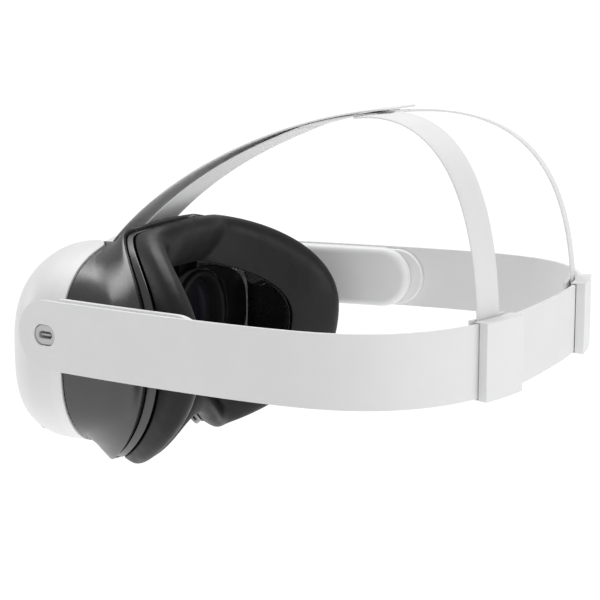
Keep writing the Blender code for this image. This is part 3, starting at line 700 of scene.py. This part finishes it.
# -------- facial interface
PIVOT_AXIS_Y = 5.0
PIVOT_RADIUS = 3.2
FACE_PLATE_Y = 0.5
GAP = 0.3
FACE_HALF_WIDTH = 71.0
FACE_MIDDLE_Z = -18.0
FACE_RISE = 55.3
FACE_DROP = 57.0
FOREHEAD_POWER = 2.7
CHEEK_POWER = 2.45
NOSE_HEIGHT = 22.0
NOSE_WIDTH = 26.0
FRAME_DEPTH = 4.4
CUSHION_DEPTH = 9.0
CURVE_X = 70.0              # where a curve of the face reaches its full wrap
CURVE_Z = 57.0              # where it reaches its full drop
RIDGE_START = -7.0
RIDGE_WRAP = 38.5
RIDGE_DROP = 8.0
RIDGE_BLEND = 4.0
TOP_LEAST = 2.2
TOP_FLAT_HALF = 13.0
BOTTOM_LEAST = 3.5
BASE_WRAP = 2.0
BACK_START = 9.6
BACK_WRAP = 47.9
BACK_DROP = 14.0
BACK_BLEND = 9.0
BACK_INSET = 4.0


def face_outline(angle, inset):
    """Front-view outline of the cushion: round forehead, fuller cheeks and a nose notch."""
    above = math.sin(angle) > 0
    power = FOREHEAD_POWER if above else CHEEK_POWER
    reach = (FACE_RISE if above else FACE_DROP) - inset
    x = super_cos(angle, power) * (FACE_HALF_WIDTH - inset)
    up = super_sin(angle, power)
    notch = NOSE_HEIGHT * math.exp(-(x / NOSE_WIDTH) ** 2) * max(0.0, -up) ** 2
    return x, FACE_MIDDLE_Z + reach * up + notch


def soft_max(a, b, blend):
    """The larger of two numbers, rounded off where they cross."""
    return (a + b + math.hypot(a - b, blend)) / 2


def ridge_y(angle):
    """Station of the housing's flange, which is curved to follow a face."""
    x, z = face_outline(angle, 0.0)
    face = RIDGE_START + RIDGE_WRAP * (x / CURVE_X) ** 2 - RIDGE_DROP * (z / CURVE_Z) ** 2
    if math.sin(angle) > 0:
        least = TOP_LEAST - 0.02 * max(0.0, abs(x) - TOP_FLAT_HALF) ** 2
    else:
        least = BOTTOM_LEAST - 0.007 * x * x
    return soft_max(face, least, RIDGE_BLEND)


def face_base_y(angle):
    """Station of the seat between frame and cushion."""
    x = face_outline(angle, 0.0)[0]
    return ridge_y(angle) + FRAME_DEPTH + BASE_WRAP * (x / CURVE_X) ** 2


def face_back_y(angle):
    """Station of the cushion's rear edge, which touches the face."""
    x, z = face_outline(angle, BACK_INSET)
    face = BACK_START + BACK_WRAP * (x / CURVE_X) ** 2 - BACK_DROP * (z / CURVE_Z) ** 2
    return soft_max(face, face_base_y(angle) + CUSHION_DEPTH, BACK_BLEND)


FACE_ANGLES = even_angles(lambda a: face_outline(a, 0.0), RING_POINTS)
FACE_BASE = [face_base_y(a) for a in FACE_ANGLES]
FACE_BACK = [face_back_y(a) for a in FACE_ANGLES]


HOUSING_STEPS = 5
ANCHOR_SLOT = ((-14.6, -23.3, 12), (14.6, -8.6, 40))
PIVOT_HOLE_RADIUS = 6.3


def housing_profile():
    """Rings of the rear shell: wall, fillet, flange edge and back along the inside."""
    angles = FACE_ANGLES
    seams = [seam_y(a) for a in angles]
    ridges = [ridge_y(a) for a in angles]

    def wall(share, inset):
        ring = []
        for a, seam, ridge in zip(angles, seams, ridges):
            start = seam + 1.0
            end = max(start + 1.5, ridge - 9.0)
            ring.append(skin_point(a, start + (end - start) * share, inset))
        return ring

    def flare(share, before, inset, edge_inset):
        ring = []
        for a, seam, ridge in zip(angles, seams, ridges):
            point = skin_point(a, VISOR_BULGE_START, inset)
            x, z = face_outline(a, edge_inset)
            y = max(ridge - before, seam + 3.3 - before * 0.1)
            ring.append(Vector((point.x + (x - point.x) * share, y,
                                point.z + (z - point.z) * share)))
        return ring

    skin = [wall(0.0, 0.5), wall(0.6, 0.6), wall(1.0, 0.7), flare(0.12, 5.6, 0.7, 0.0),
            flare(0.45, 2.8, 0.7, 0.0), flare(0.9, 0.8, 0.7, 0.0), flare(1.0, 0.0, 0.7, 0.3)]
    rings = [[Vector(p) for p in ring] for ring in spline(skin, HOUSING_STEPS)]
    rings += [flare(1.0, -0.6, 0.7, 1.2), flare(1.0, -0.6, 0.7, 7.0), flare(1.0, -0.6, 0.7, 12.0),
              flare(1.0, 1.4, 0.7, 12.0), flare(0.5, 3.6, 3.2, 4.0), wall(1.0, 3.0),
              wall(0.0, 2.7)]
    return rings


def rear_housing():
    """The black rear half of the visor and the gasket between the halves."""
    shell = shape("visor_rear", loft(housing_profile(), wrap=True))
    carve(shell, shape("slot", block(*ANCHOR_SLOT)))
    for start_x in (68, -86):
        drill(shell, (start_x, PIVOT_AXIS_Y, 0), "x", PIVOT_HOLE_RADIUS, 18)
    soften(shell, 0.4)
    finish_piece(shell, "visor", "dark_plastic", "rear_housing")

    def ring(inset, offset):
        return [skin_point(a, seam + offset, inset) for a, seam in zip(ANGLES, SEAMS)]

    rings = [ring(0.9, 0.3), ring(0.9, 0.7), ring(1.9, 0.7), ring(1.9, 0.3)]
    gasket = shape("visor_seam", loft(rings, wrap=True))
    finish_piece(gasket, "visor", "black_plastic", "seam_gasket")


def cushion_ring(inset, share):
    """A ring of the cushion at a share of the way from its seat to its rear edge."""
    ring = []
    for a, base, back in zip(FACE_ANGLES, FACE_BASE, FACE_BACK):
        x, z = face_outline(a, inset)
        ring.append(Vector((x, base + (back - base) * share, z)))
    return ring


CUSHION_SECTION = [(2.0, 0.0), (0.4, 0.35), (0.0, 0.62), (1.2, 0.88), (4.5, 1.0),
                   (9.0, 0.94), (14.5, 0.66), (19.5, 0.3), (22.0, 0.0)]
SEAT_INSETS = (15.3, 8.7)
PUFF_FRAMES = 16
PUFF_LIMIT_MM = 1.3


def face_cushion():
    """The foam cushion: its seat is held while its skin swells."""
    skin = spline(CUSHION_SECTION, 4)
    rings = [cushion_ring(inset, share) for inset, share in skin]
    base = len(rings)
    rings += [cushion_ring(inset, 0.0) for inset in SEAT_INSETS]
    pad = shape("face_pad", loft(rings, wrap=True), 80.0)
    puff(pad, [*range(0, 2), *range(base - 2, base + 2)], len(FACE_ANGLES))
    round_off = pad.modifiers.new("round_off", "SUBSURF")
    round_off.levels = round_off.render_levels = 1
    apply_all(pad)
    pad.data.shade_smooth()
    finish_piece(pad, "face_interface", "dark_foam", "face_cushion")


def puff(pad, held_rings, count):
    """Swell a pad a little with cloth pressure; the held rings stay on their frame."""
    before = np.array([v.co for v in pad.data.vertices])
    pinned = pad.vertex_groups.new(name="held")
    pinned.add([r * count + i for r in held_rings for i in range(count)], 1.0, "REPLACE")
    cloth = pad.modifiers.new("cloth", "CLOTH")
    cloth.settings.quality = 6
    cloth.settings.mass = 0.3
    cloth.settings.tension_stiffness = 25
    cloth.settings.compression_stiffness = 25
    cloth.settings.bending_stiffness = 4
    cloth.settings.use_pressure = True
    cloth.settings.uniform_pressure_force = 4.0
    cloth.settings.effector_weights.gravity = 0
    cloth.settings.vertex_group_mass = "held"
    scene = bpy.context.scene
    cloth.point_cache.frame_start = 1
    cloth.point_cache.frame_end = PUFF_FRAMES
    for number in range(1, PUFF_FRAMES + 1):
        scene.frame_set(number)
    apply_all(pad)
    scene.frame_set(1)
    after = np.array([v.co for v in pad.data.vertices])
    move = after - before
    reach = np.linalg.norm(move, axis=1, keepdims=True)
    move *= np.minimum(1.0, PUFF_LIMIT_MM * MM / np.maximum(reach, 1e-9))
    pad.data.vertices.foreach_set("co", (before + move).astype(np.float32).ravel())
    pad.vertex_groups.clear()


def interface_frame():
    """Rigid ring between the housing's flange and the cushion."""
    def ring_at(inset, stations, offset):
        ring = []
        for a, station in zip(FACE_ANGLES, stations):
            x, z = face_outline(a, inset)
            ring.append(Vector((x, station + offset, z)))
        return ring

    ridges = [ridge_y(a) for a in FACE_ANGLES]
    rings = [ring_at(2.0, ridges, 1.1), ring_at(1.8, FACE_BASE, -0.7),
             ring_at(8.7, FACE_BASE, -0.7), ring_at(15.3, FACE_BASE, -0.7),
             ring_at(22.0, FACE_BASE, -0.7), ring_at(12.0, ridges, 1.1), ring_at(7.0, ridges, 1.1)]
    ring = shape("interface_ring", loft(rings, wrap=True), 30.0)
    soften(ring, 0.35)
    finish_piece(ring, "face_interface", "dark_plastic", "interface_frame")


# -------- lenses
LENS_SPACING = 60.0
LENS_Z = -14.0
BARREL_RADIUS = 22.2
IPD_TRAVEL = 3.0
RAIL_Y = -9.0
RAIL_Z = (12.0, -40.0)
RAIL_BORE_RADIUS = 1.8
EAR_HEIGHTS = ((6.5, 16.0), (-52.0, -34.5))
PLATE_HALF_WIDTH = 75.0
PLATE_HALF_HEIGHT = 26.0
PLATE_THICKNESS = 2.0
BARREL_PROFILE = [(22.2, -13.0), (22.2, 1.0), (21.4, 1.8), (20.4, 1.8), (19.6, 0.6),
                  (19.4, -3.0), (19.4, -13.0)]
GLASS_STEPS = 15
SCREW_PROFILE = [(0.4, -5.5), (1.1, -5.0), (1.1, 0.0), (2.6, 0.0), (2.6, 0.8), (2.2, 1.2),
                 (1.2, 1.3)]
SCREW_SPOTS = [(62, 6), (-62, 6), (62, -38), (-62, -38)]


def pill(half_length, half_height, steps):
    """Outline with two straight sides and two round ends."""
    reach = half_length - half_height
    points = []
    for side in (1, -1):
        for i in range(steps + 1):
            angle = math.radians(-90 + 180 * i / steps)
            points.append((side * (reach + half_height * math.cos(angle)),
                           side * half_height * math.sin(angle)))
    return points


def lens_plate():
    """The black panel round the lenses."""
    outline = []
    for a in ANGLES:
        up = super_sin(a, FRONT_POWER)
        x = PLATE_HALF_WIDTH * super_cos(a, FRONT_POWER)
        outline.append((x, VISOR_MIDDLE_Z + PLATE_HALF_HEIGHT * up - valley(x, up)))
    rings = [[Vector((x, y, z)) for x, z in outline]
             for y in (FACE_PLATE_Y - PLATE_THICKNESS, FACE_PLATE_Y)]
    plate = shape("lens_panel", loft(rings))
    hole = pill(BARREL_RADIUS + IPD_TRAVEL + 0.5, BARREL_RADIUS + 0.5, 40)
    for _, side in SIDES:
        rings = [[Vector((side * LENS_SPACING / 2 + u, y, LENS_Z + v)) for u, v in hole]
                 for y in (-4.0, 4.0)]
        carve(plate, shape("hole", loft(rings)))
    for x, z in SCREW_SPOTS:
        drill(plate, (x, -4, z), "y", 1.4, 8, 32)
    soften(plate, 0.4)
    finish_piece(plate, "visor", "black_plastic", "lens_plate")


def plate_screws():
    """Pan-head screws with a hexagonal socket."""
    for i, (x, z) in enumerate(SCREW_SPOTS):
        spot = (x, FACE_PLATE_Y + GAP, z)
        screw = shape(f"panel_screw_{i + 1}", turned(spot, "y", SCREW_PROFILE, 40, wrap=False))
        drill(screw, (x, spot[1] + 0.5, z), "y", 0.9, 2, 6)
        soften(screw, 0.08, 2)
        finish_piece(screw, "visor", "steel", f"plate_screw_{i + 1}")


def lens_groups():
    """Both lenses in their barrels, which slide on two rails."""
    for side_name, side in SIDES:
        centre = side * LENS_SPACING / 2
        body = f"lens_group_{side_name}"
        spot = (centre, 0, LENS_Z)
        carrier = shape("lens_barrel_" + side_name, turned(spot, "y", BARREL_PROFILE, 128))
        for low_z, high_z in EAR_HEIGHTS:
            ear = shape("ear", block((centre - 8, -12, low_z), (centre + 8, -6, high_z)))
            carve(carrier, ear, operation="UNION")
        for z in RAIL_Z:
            drill(carrier, (centre - 12, RAIL_Y, z), "x", RAIL_BORE_RADIUS, 24, 40)
        soften(carrier, 0.3)
        finish_piece(carrier, body, "black_plastic", "lens_carrier_" + side_name)

        profile = [(0.3, -1.02)]
        for i in range(1, GLASS_STEPS + 1):
            share = i / GLASS_STEPS
            profile.append((LENS_RADIUS_MM * share, -1.0 - 3.2 * share ** 2.4))
        profile += [(LENS_RADIUS_MM, -7.0), (12.0, -7.8), (0.3, -8.0)]
        glass = shape("lens_glass_" + side_name, turned(spot, "y", profile, 128, wrap=False))
        row_spot = place(*spot) / MM
        look = optic("coated_lens_" + side_name, row_spot.x, row_spot.z)
        finish_piece(glass, body, "lens_glass", "lens_" + side_name, material=look)


# -------- band and arms
BAND_HEIGHT = 29.0
BAND_THICKNESS = 1.6
BAND_END_RADIUS = BAND_HEIGHT / 2
BAND_HALF_WIDTH = 106.3
BAND_FRONT_HALF_WIDTH = 95.8
BAND_TURN_Y = 105.0
BAND_DEPTH = 78.4
BAND_POWER = 2.78
BAND_FRONT_POWER = 1.6
BAND_START_Y = -16.0
BAND_STRAIGHT_STEPS = 400
BAND_TIP_STEPS = 22
BAND_STATIONS = 90
BAND_SECTION = [(0, 1), (0, 0.5), (0, -0.5), (0, -1), (BAND_THICKNESS, -1),
                (BAND_THICKNESS, -0.5), (BAND_THICKNESS, 0.5), (BAND_THICKNESS, 1)]


def band_x(y):
    """Half width of the band's outer line at a station."""
    if y > BAND_TURN_Y:
        share = min(1.0, (y - BAND_TURN_Y) / BAND_DEPTH)
        return BAND_HALF_WIDTH * (1 - share ** BAND_POWER) ** (1 / BAND_POWER)
    widening = BAND_HALF_WIDTH - BAND_FRONT_HALF_WIDTH
    return BAND_HALF_WIDTH - widening * (1 - y / BAND_TURN_Y) ** BAND_FRONT_POWER


def band_table():
    """Outer line of the left half of the band, from the front tip to the back of the head."""
    straight = np.linspace(BAND_START_Y, BAND_TURN_Y, BAND_STRAIGHT_STEPS)
    points = [(band_x(float(y)), float(y)) for y in straight]
    for angle in np.linspace(0, math.pi / 2, 900)[1:]:
        x = BAND_HALF_WIDTH * max(0.0, math.cos(angle)) ** (2 / BAND_POWER)
        points.append((x, BAND_TURN_Y + BAND_DEPTH * math.sin(angle) ** (2 / BAND_POWER)))
    points[-1] = (0.0, BAND_TURN_Y + BAND_DEPTH)
    points = np.array(points)
    run = np.concatenate([[0.0], np.cumsum(np.hypot(*np.diff(points, axis=0).T))])
    ahead = slice(0, BAND_STRAIGHT_STEPS)
    return points, run - float(np.interp(0.0, points[ahead, 1], run[ahead]))


BAND_POINTS, BAND_RUN = band_table()
BAND_HALF_LENGTH = float(BAND_RUN[-1])


def band_spot(along):
    """Plan position at a distance along the outer line."""
    return Vector((float(np.interp(along, BAND_RUN, BAND_POINTS[:, 0])),
                   float(np.interp(along, BAND_RUN, BAND_POINTS[:, 1]))))


SLOPE_REACH = 1.5


def band_point(along, inset, z, side=1):
    """A point at a distance along the band from the socket's station, inset from its outside."""
    spot = band_spot(along)
    if along + SLOPE_REACH > BAND_HALF_LENGTH:
        normal = Vector((-spot.x * 0.001, -1.0))
    else:
        behind = max(along - SLOPE_REACH, float(BAND_RUN[0]))
        step = band_spot(along + SLOPE_REACH) - band_spot(behind)
        normal = Vector((-step.y, step.x))
    spot += inset * normal.normalized()
    return Vector((side * spot.x, spot.y, z))


def band_station(half_width):
    """Distance along the band where its rear part has a given half width."""
    rear = BAND_POINTS[:, 1] > BAND_TURN_Y + 20
    return float(np.interp(-half_width, -BAND_POINTS[rear, 0], BAND_RUN[rear]))


def port_solid(half_length, half_height, low, high):
    """A pill-shaped solid across the band, between two insets."""
    outline = pill(half_length, half_height, 20)
    return loft([[band_point(u, inset, v) for u, v in outline] for inset in (low, high)])


PORT_RECESS = (5.9, 4.4)


def strap_band():
    """The band from one tip round the back of the head to the other."""
    stations = [(-BAND_END_RADIUS * math.cos(math.radians(turn)),
                 BAND_END_RADIUS * math.sin(math.radians(turn)))
                for turn in np.linspace(8, 90, BAND_TIP_STEPS)]
    stations += [(float(s), BAND_END_RADIUS)
                 for s in np.linspace(4, BAND_HALF_LENGTH, BAND_STATIONS)]
    rings = []
    run = []
    for side in (1, -1):
        half = []
        half_run = []
        for along, rise in stations:
            if side < 0 and along > BAND_HALF_LENGTH - 0.1:
                continue
            ring = [(inset, share * rise) for inset, share in BAND_SECTION]
            half.append([band_point(along, inset, z, side) for inset, z in ring])
            half_run.append([(side * (along - BAND_HALF_LENGTH), z, inset) for inset, z in ring])
        rings += half if side > 0 else list(reversed(half))
        run += half_run if side > 0 else list(reversed(half_run))
    band = shape("rear_band", loft(rings, run=run))
    carve(band, shape("opening", port_solid(*PORT_RECESS, -3, 4)))
    soften(band, 0.45)
    finish_piece(band, "strap", "white_strap", "strap_band")


ROUND_STEPS = 24
STRAIGHT_STEPS = 56


def arm_outline(start, end, radius, shrink):
    """Stadium outline along the band, as (along, up) points."""
    radius -= shrink
    first = start + shrink + radius
    last = end - shrink - radius
    points = []
    for i in range(ROUND_STEPS + 1):
        turn = math.radians(-90 + 180 * i / ROUND_STEPS)
        points.append((last + radius * math.cos(turn), radius * math.sin(turn)))
    inner = [float(a) for a in np.linspace(last, first, STRAIGHT_STEPS + 2)][1:-1]
    points += [(a, radius) for a in inner]
    for i in range(ROUND_STEPS + 1):
        turn = math.radians(90 + 180 * i / ROUND_STEPS)
        points.append((first + radius * math.cos(turn), radius * math.sin(turn)))
    points += [(a, -radius) for a in reversed(inner)]
    return points


def arm_layers(start, end, radius, levels, side):
    """A pad along the band from (inset, shrink) levels of one stadium outline."""
    rings = []
    for inset, shrink in levels:
        outline = arm_outline(start, end, radius, shrink)
        rings.append([band_point(a, inset, z, side) for a, z in outline])
    count = len(rings[0])
    tip = ROUND_STEPS // 2
    rungs = [((tip + i) % count, (tip - i) % count) for i in range(count // 2 + 1)]
    return loft(rings, rungs=rungs)


def quarter_round(inset, depth, shrink, steps):
    """Levels of a rounded edge that falls from a side wall to the face."""
    levels = []
    for i in range(steps + 1):
        turn = math.radians(90 * i / steps)
        levels.append((inset + depth * math.sin(turn), shrink * (1 - math.cos(turn))))
    return levels


CORE_REACH = (-13.4, 84.0)
CORE_RADIUS = 13.5
COVER_REACH = (-9.0, 78.5)
COVER_RADIUS = 14.4


def arms():
    """The two stacked pads inside each end of the band."""
    for side_name, side in SIDES:
        levels = [(1.9, 0.5), (2.05, 0.15), (2.4, 0.0)] + quarter_round(4.3, 0.8, 0.8, 4)
        core = shape("arm_" + side_name, arm_layers(*CORE_REACH, CORE_RADIUS, levels, side))
        levels = [(5.4, 0.6), (5.7, 0.0)] + quarter_round(7.8, 3.2, 3.6, 9)
        cover = shape("arm_pad_" + side_name, arm_layers(*COVER_REACH, COVER_RADIUS, levels, side))
        start = (70 if side > 0 else -90, PIVOT_AXIS_Y, 0)
        drill(cover, start, "x", PIVOT_RADIUS + GAP, 20, 48)
        if side > 0:
            carve(core, shape("pocket", port_solid(*PORT_RECESS, 0, 7)))
        finish_piece(core, "strap", "white_plastic", "arm_core_" + side_name)
        finish_piece(cover, "strap", "white_plastic", "arm_cover_" + side_name)


def port():
    """Charging socket: a grey insert with a slot and a contact tongue."""
    insert = shape("socket_insert", port_solid(5.6, 4.1, 0.6, 5.1))
    carve(insert, shape("mouth", port_solid(3.7, 1.5, 0, 4.4)))
    soften(insert, 0.35)
    finish_piece(insert, "strap", "port_grey", "port_shell")
    tongue = shape("socket_tongue", port_solid(2.6, 0.4, 1.2, 4.1))
    soften(tongue, 0.1)
    look = moulded("contact_grey", CONTACT_GREY, 0.4, 0.4, 0.005)
    finish_piece(tongue, "strap", "black_plastic", "port_tongue", material=look)


KEEPER_X = 50.0
KEEPER_HALF_LENGTH = 12.5
KEEPER_RISE = 0.9


def keepers():
    """Rectangular sleeves round the band that also hold the ends of the crown strap."""
    middle = band_station(KEEPER_X)
    tall = BAND_END_RADIUS + KEEPER_RISE
    hollow = BAND_END_RADIUS + GAP
    outer_section = [(-4.3, tall), (-4.3, -tall), (5.4, -tall), (5.4, tall)]
    inner_section = [(-0.3, hollow), (-0.3, -hollow), (4.1, -hollow), (4.1, tall + 2),
                     (1.9, tall + 2), (1.9, hollow)]
    for side_name, side in SIDES:
        def tube(section, reach, side=side):
            return loft([[band_point(float(s), inset, z, side) for inset, z in section]
                         for s in np.linspace(middle - reach, middle + reach, 22)])

        sleeve = shape("keeper_" + side_name, tube(outer_section, KEEPER_HALF_LENGTH))
        carve(sleeve, shape("opening", tube(inner_section, KEEPER_HALF_LENGTH + 1)))
        soften(sleeve, 0.5)
        finish_piece(sleeve, "strap", "white_plastic", "band_keeper_" + side_name)


# -------- crown strap
STRAP_HALF_WIDTH = 13.0
BRANCH_HALF_WIDTH = 7.4
STRAP_THICKNESS = 0.8
ACROSS = Vector((1, 0, 0))
UPPER_PLY = [Vector((0, -21.4, 24.6)), Vector((0, 0.0, 51.6)), Vector((0, 56.0, 85.5)),
             Vector((0, 117.0, 90.6))]
LOWER_PLY = [Vector((0, -14.2, 22.6)), Vector((0, 15.1, 56.9)), Vector((0, 49.8, 71.6)),
             Vector((0, 74.0, 81.1))]
YOKE = [Vector((0, 74.9, 81.5)), Vector((0, 86.0, 85.1)), Vector((0, 98.0, 87.3)),
        Vector((0, 110.0, 88.4))]
BRANCH = [(6.5, 104.0, 87.3), (41.2, 154.5, 94.5), (50.4, 175.6, 65.5), (51.6, 176.4, 4.0)]
BRANCH_TOP_ACROSS = (-0.94, 0.32, 0.1)
BRANCH_LOW_ACROSS = (-0.975, 0.22, 0.0)


def bezier(points, t):
    """A point of a cubic Bezier curve."""
    a, b, c, d = points
    s = 1 - t
    return a * s ** 3 + b * 3 * t * s * s + c * 3 * t * t * s + d * t ** 3


RIBBON_SECTION = [(-1, 0), (-0.985, 0.35), (-0.95, 0.5), (-0.5, 0.5), (0, 0.5), (0.5, 0.5),
                  (0.95, 0.5), (0.985, 0.35), (1, 0), (0.985, -0.35), (0.95, -0.5), (0.5, -0.5),
                  (0, -0.5), (-0.5, -0.5), (-0.95, -0.5), (-0.985, -0.35)]


def ribbon(points, half_width, across, steps):
    """A strap along a Bezier curve with rounded selvedges; returns the mesh and its length."""
    rings = []
    run = []
    travelled = 0.0
    last = points[0]
    for i in range(steps + 1):
        t = i / steps
        centre = bezier(points, t)
        travelled += (centre - last).length
        last = centre
        ahead = bezier(points, min(1.0, t + 0.01)) - bezier(points, max(0.0, t - 0.01))
        ahead.normalize()
        wide = across[0].lerp(across[1], t)
        wide = (wide - ahead * wide.dot(ahead)).normalized()
        thick = wide.cross(ahead).normalized()
        rings.append([centre + wide * (u * half_width) + thick * (v * STRAP_THICKNESS)
                      for u, v in RIBBON_SECTION])
        run.append([(travelled, u * half_width, v) for u, v in RIBBON_SECTION])
    return loft(rings, run=run), travelled


def crown_strap():
    """The two front plies, and the Y-shaped strap that they hold."""
    for label, curve in (("upper", UPPER_PLY), ("lower", LOWER_PLY)):
        mesh, length = ribbon(curve, STRAP_HALF_WIDTH, (ACROSS, ACROSS), 70)
        ply = shape("front_ply_" + label, mesh)
        finish_piece(ply, None, "white_strap", "front_strap_" + label)
        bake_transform(ply)

    mesh, yoke_length = ribbon(YOKE, STRAP_HALF_WIDTH, (ACROSS, ACROSS), 24)
    crown = shape("crown_webbing", mesh)
    branch_length = 0.0
    for _, side in SIDES:
        points = [Vector((side * x, y, z)) for x, y, z in BRANCH]
        top, low = (Vector((x * side, y, z)) * side
                    for x, y, z in (BRANCH_TOP_ACROSS, BRANCH_LOW_ACROSS))
        mesh, branch_length = ribbon(points, BRANCH_HALF_WIDTH, (top, low), 90)
        carve(crown, shape("branch", mesh), operation="UNION")
    finish_piece(crown, "strap", "white_strap", "crown_strap")


front_shell()
rear_housing()
buttons()
interface_frame()
face_cushion()
lens_plate()
plate_screws()
lens_groups()
strap_band()
arms()
port()
keepers()
crown_strap()
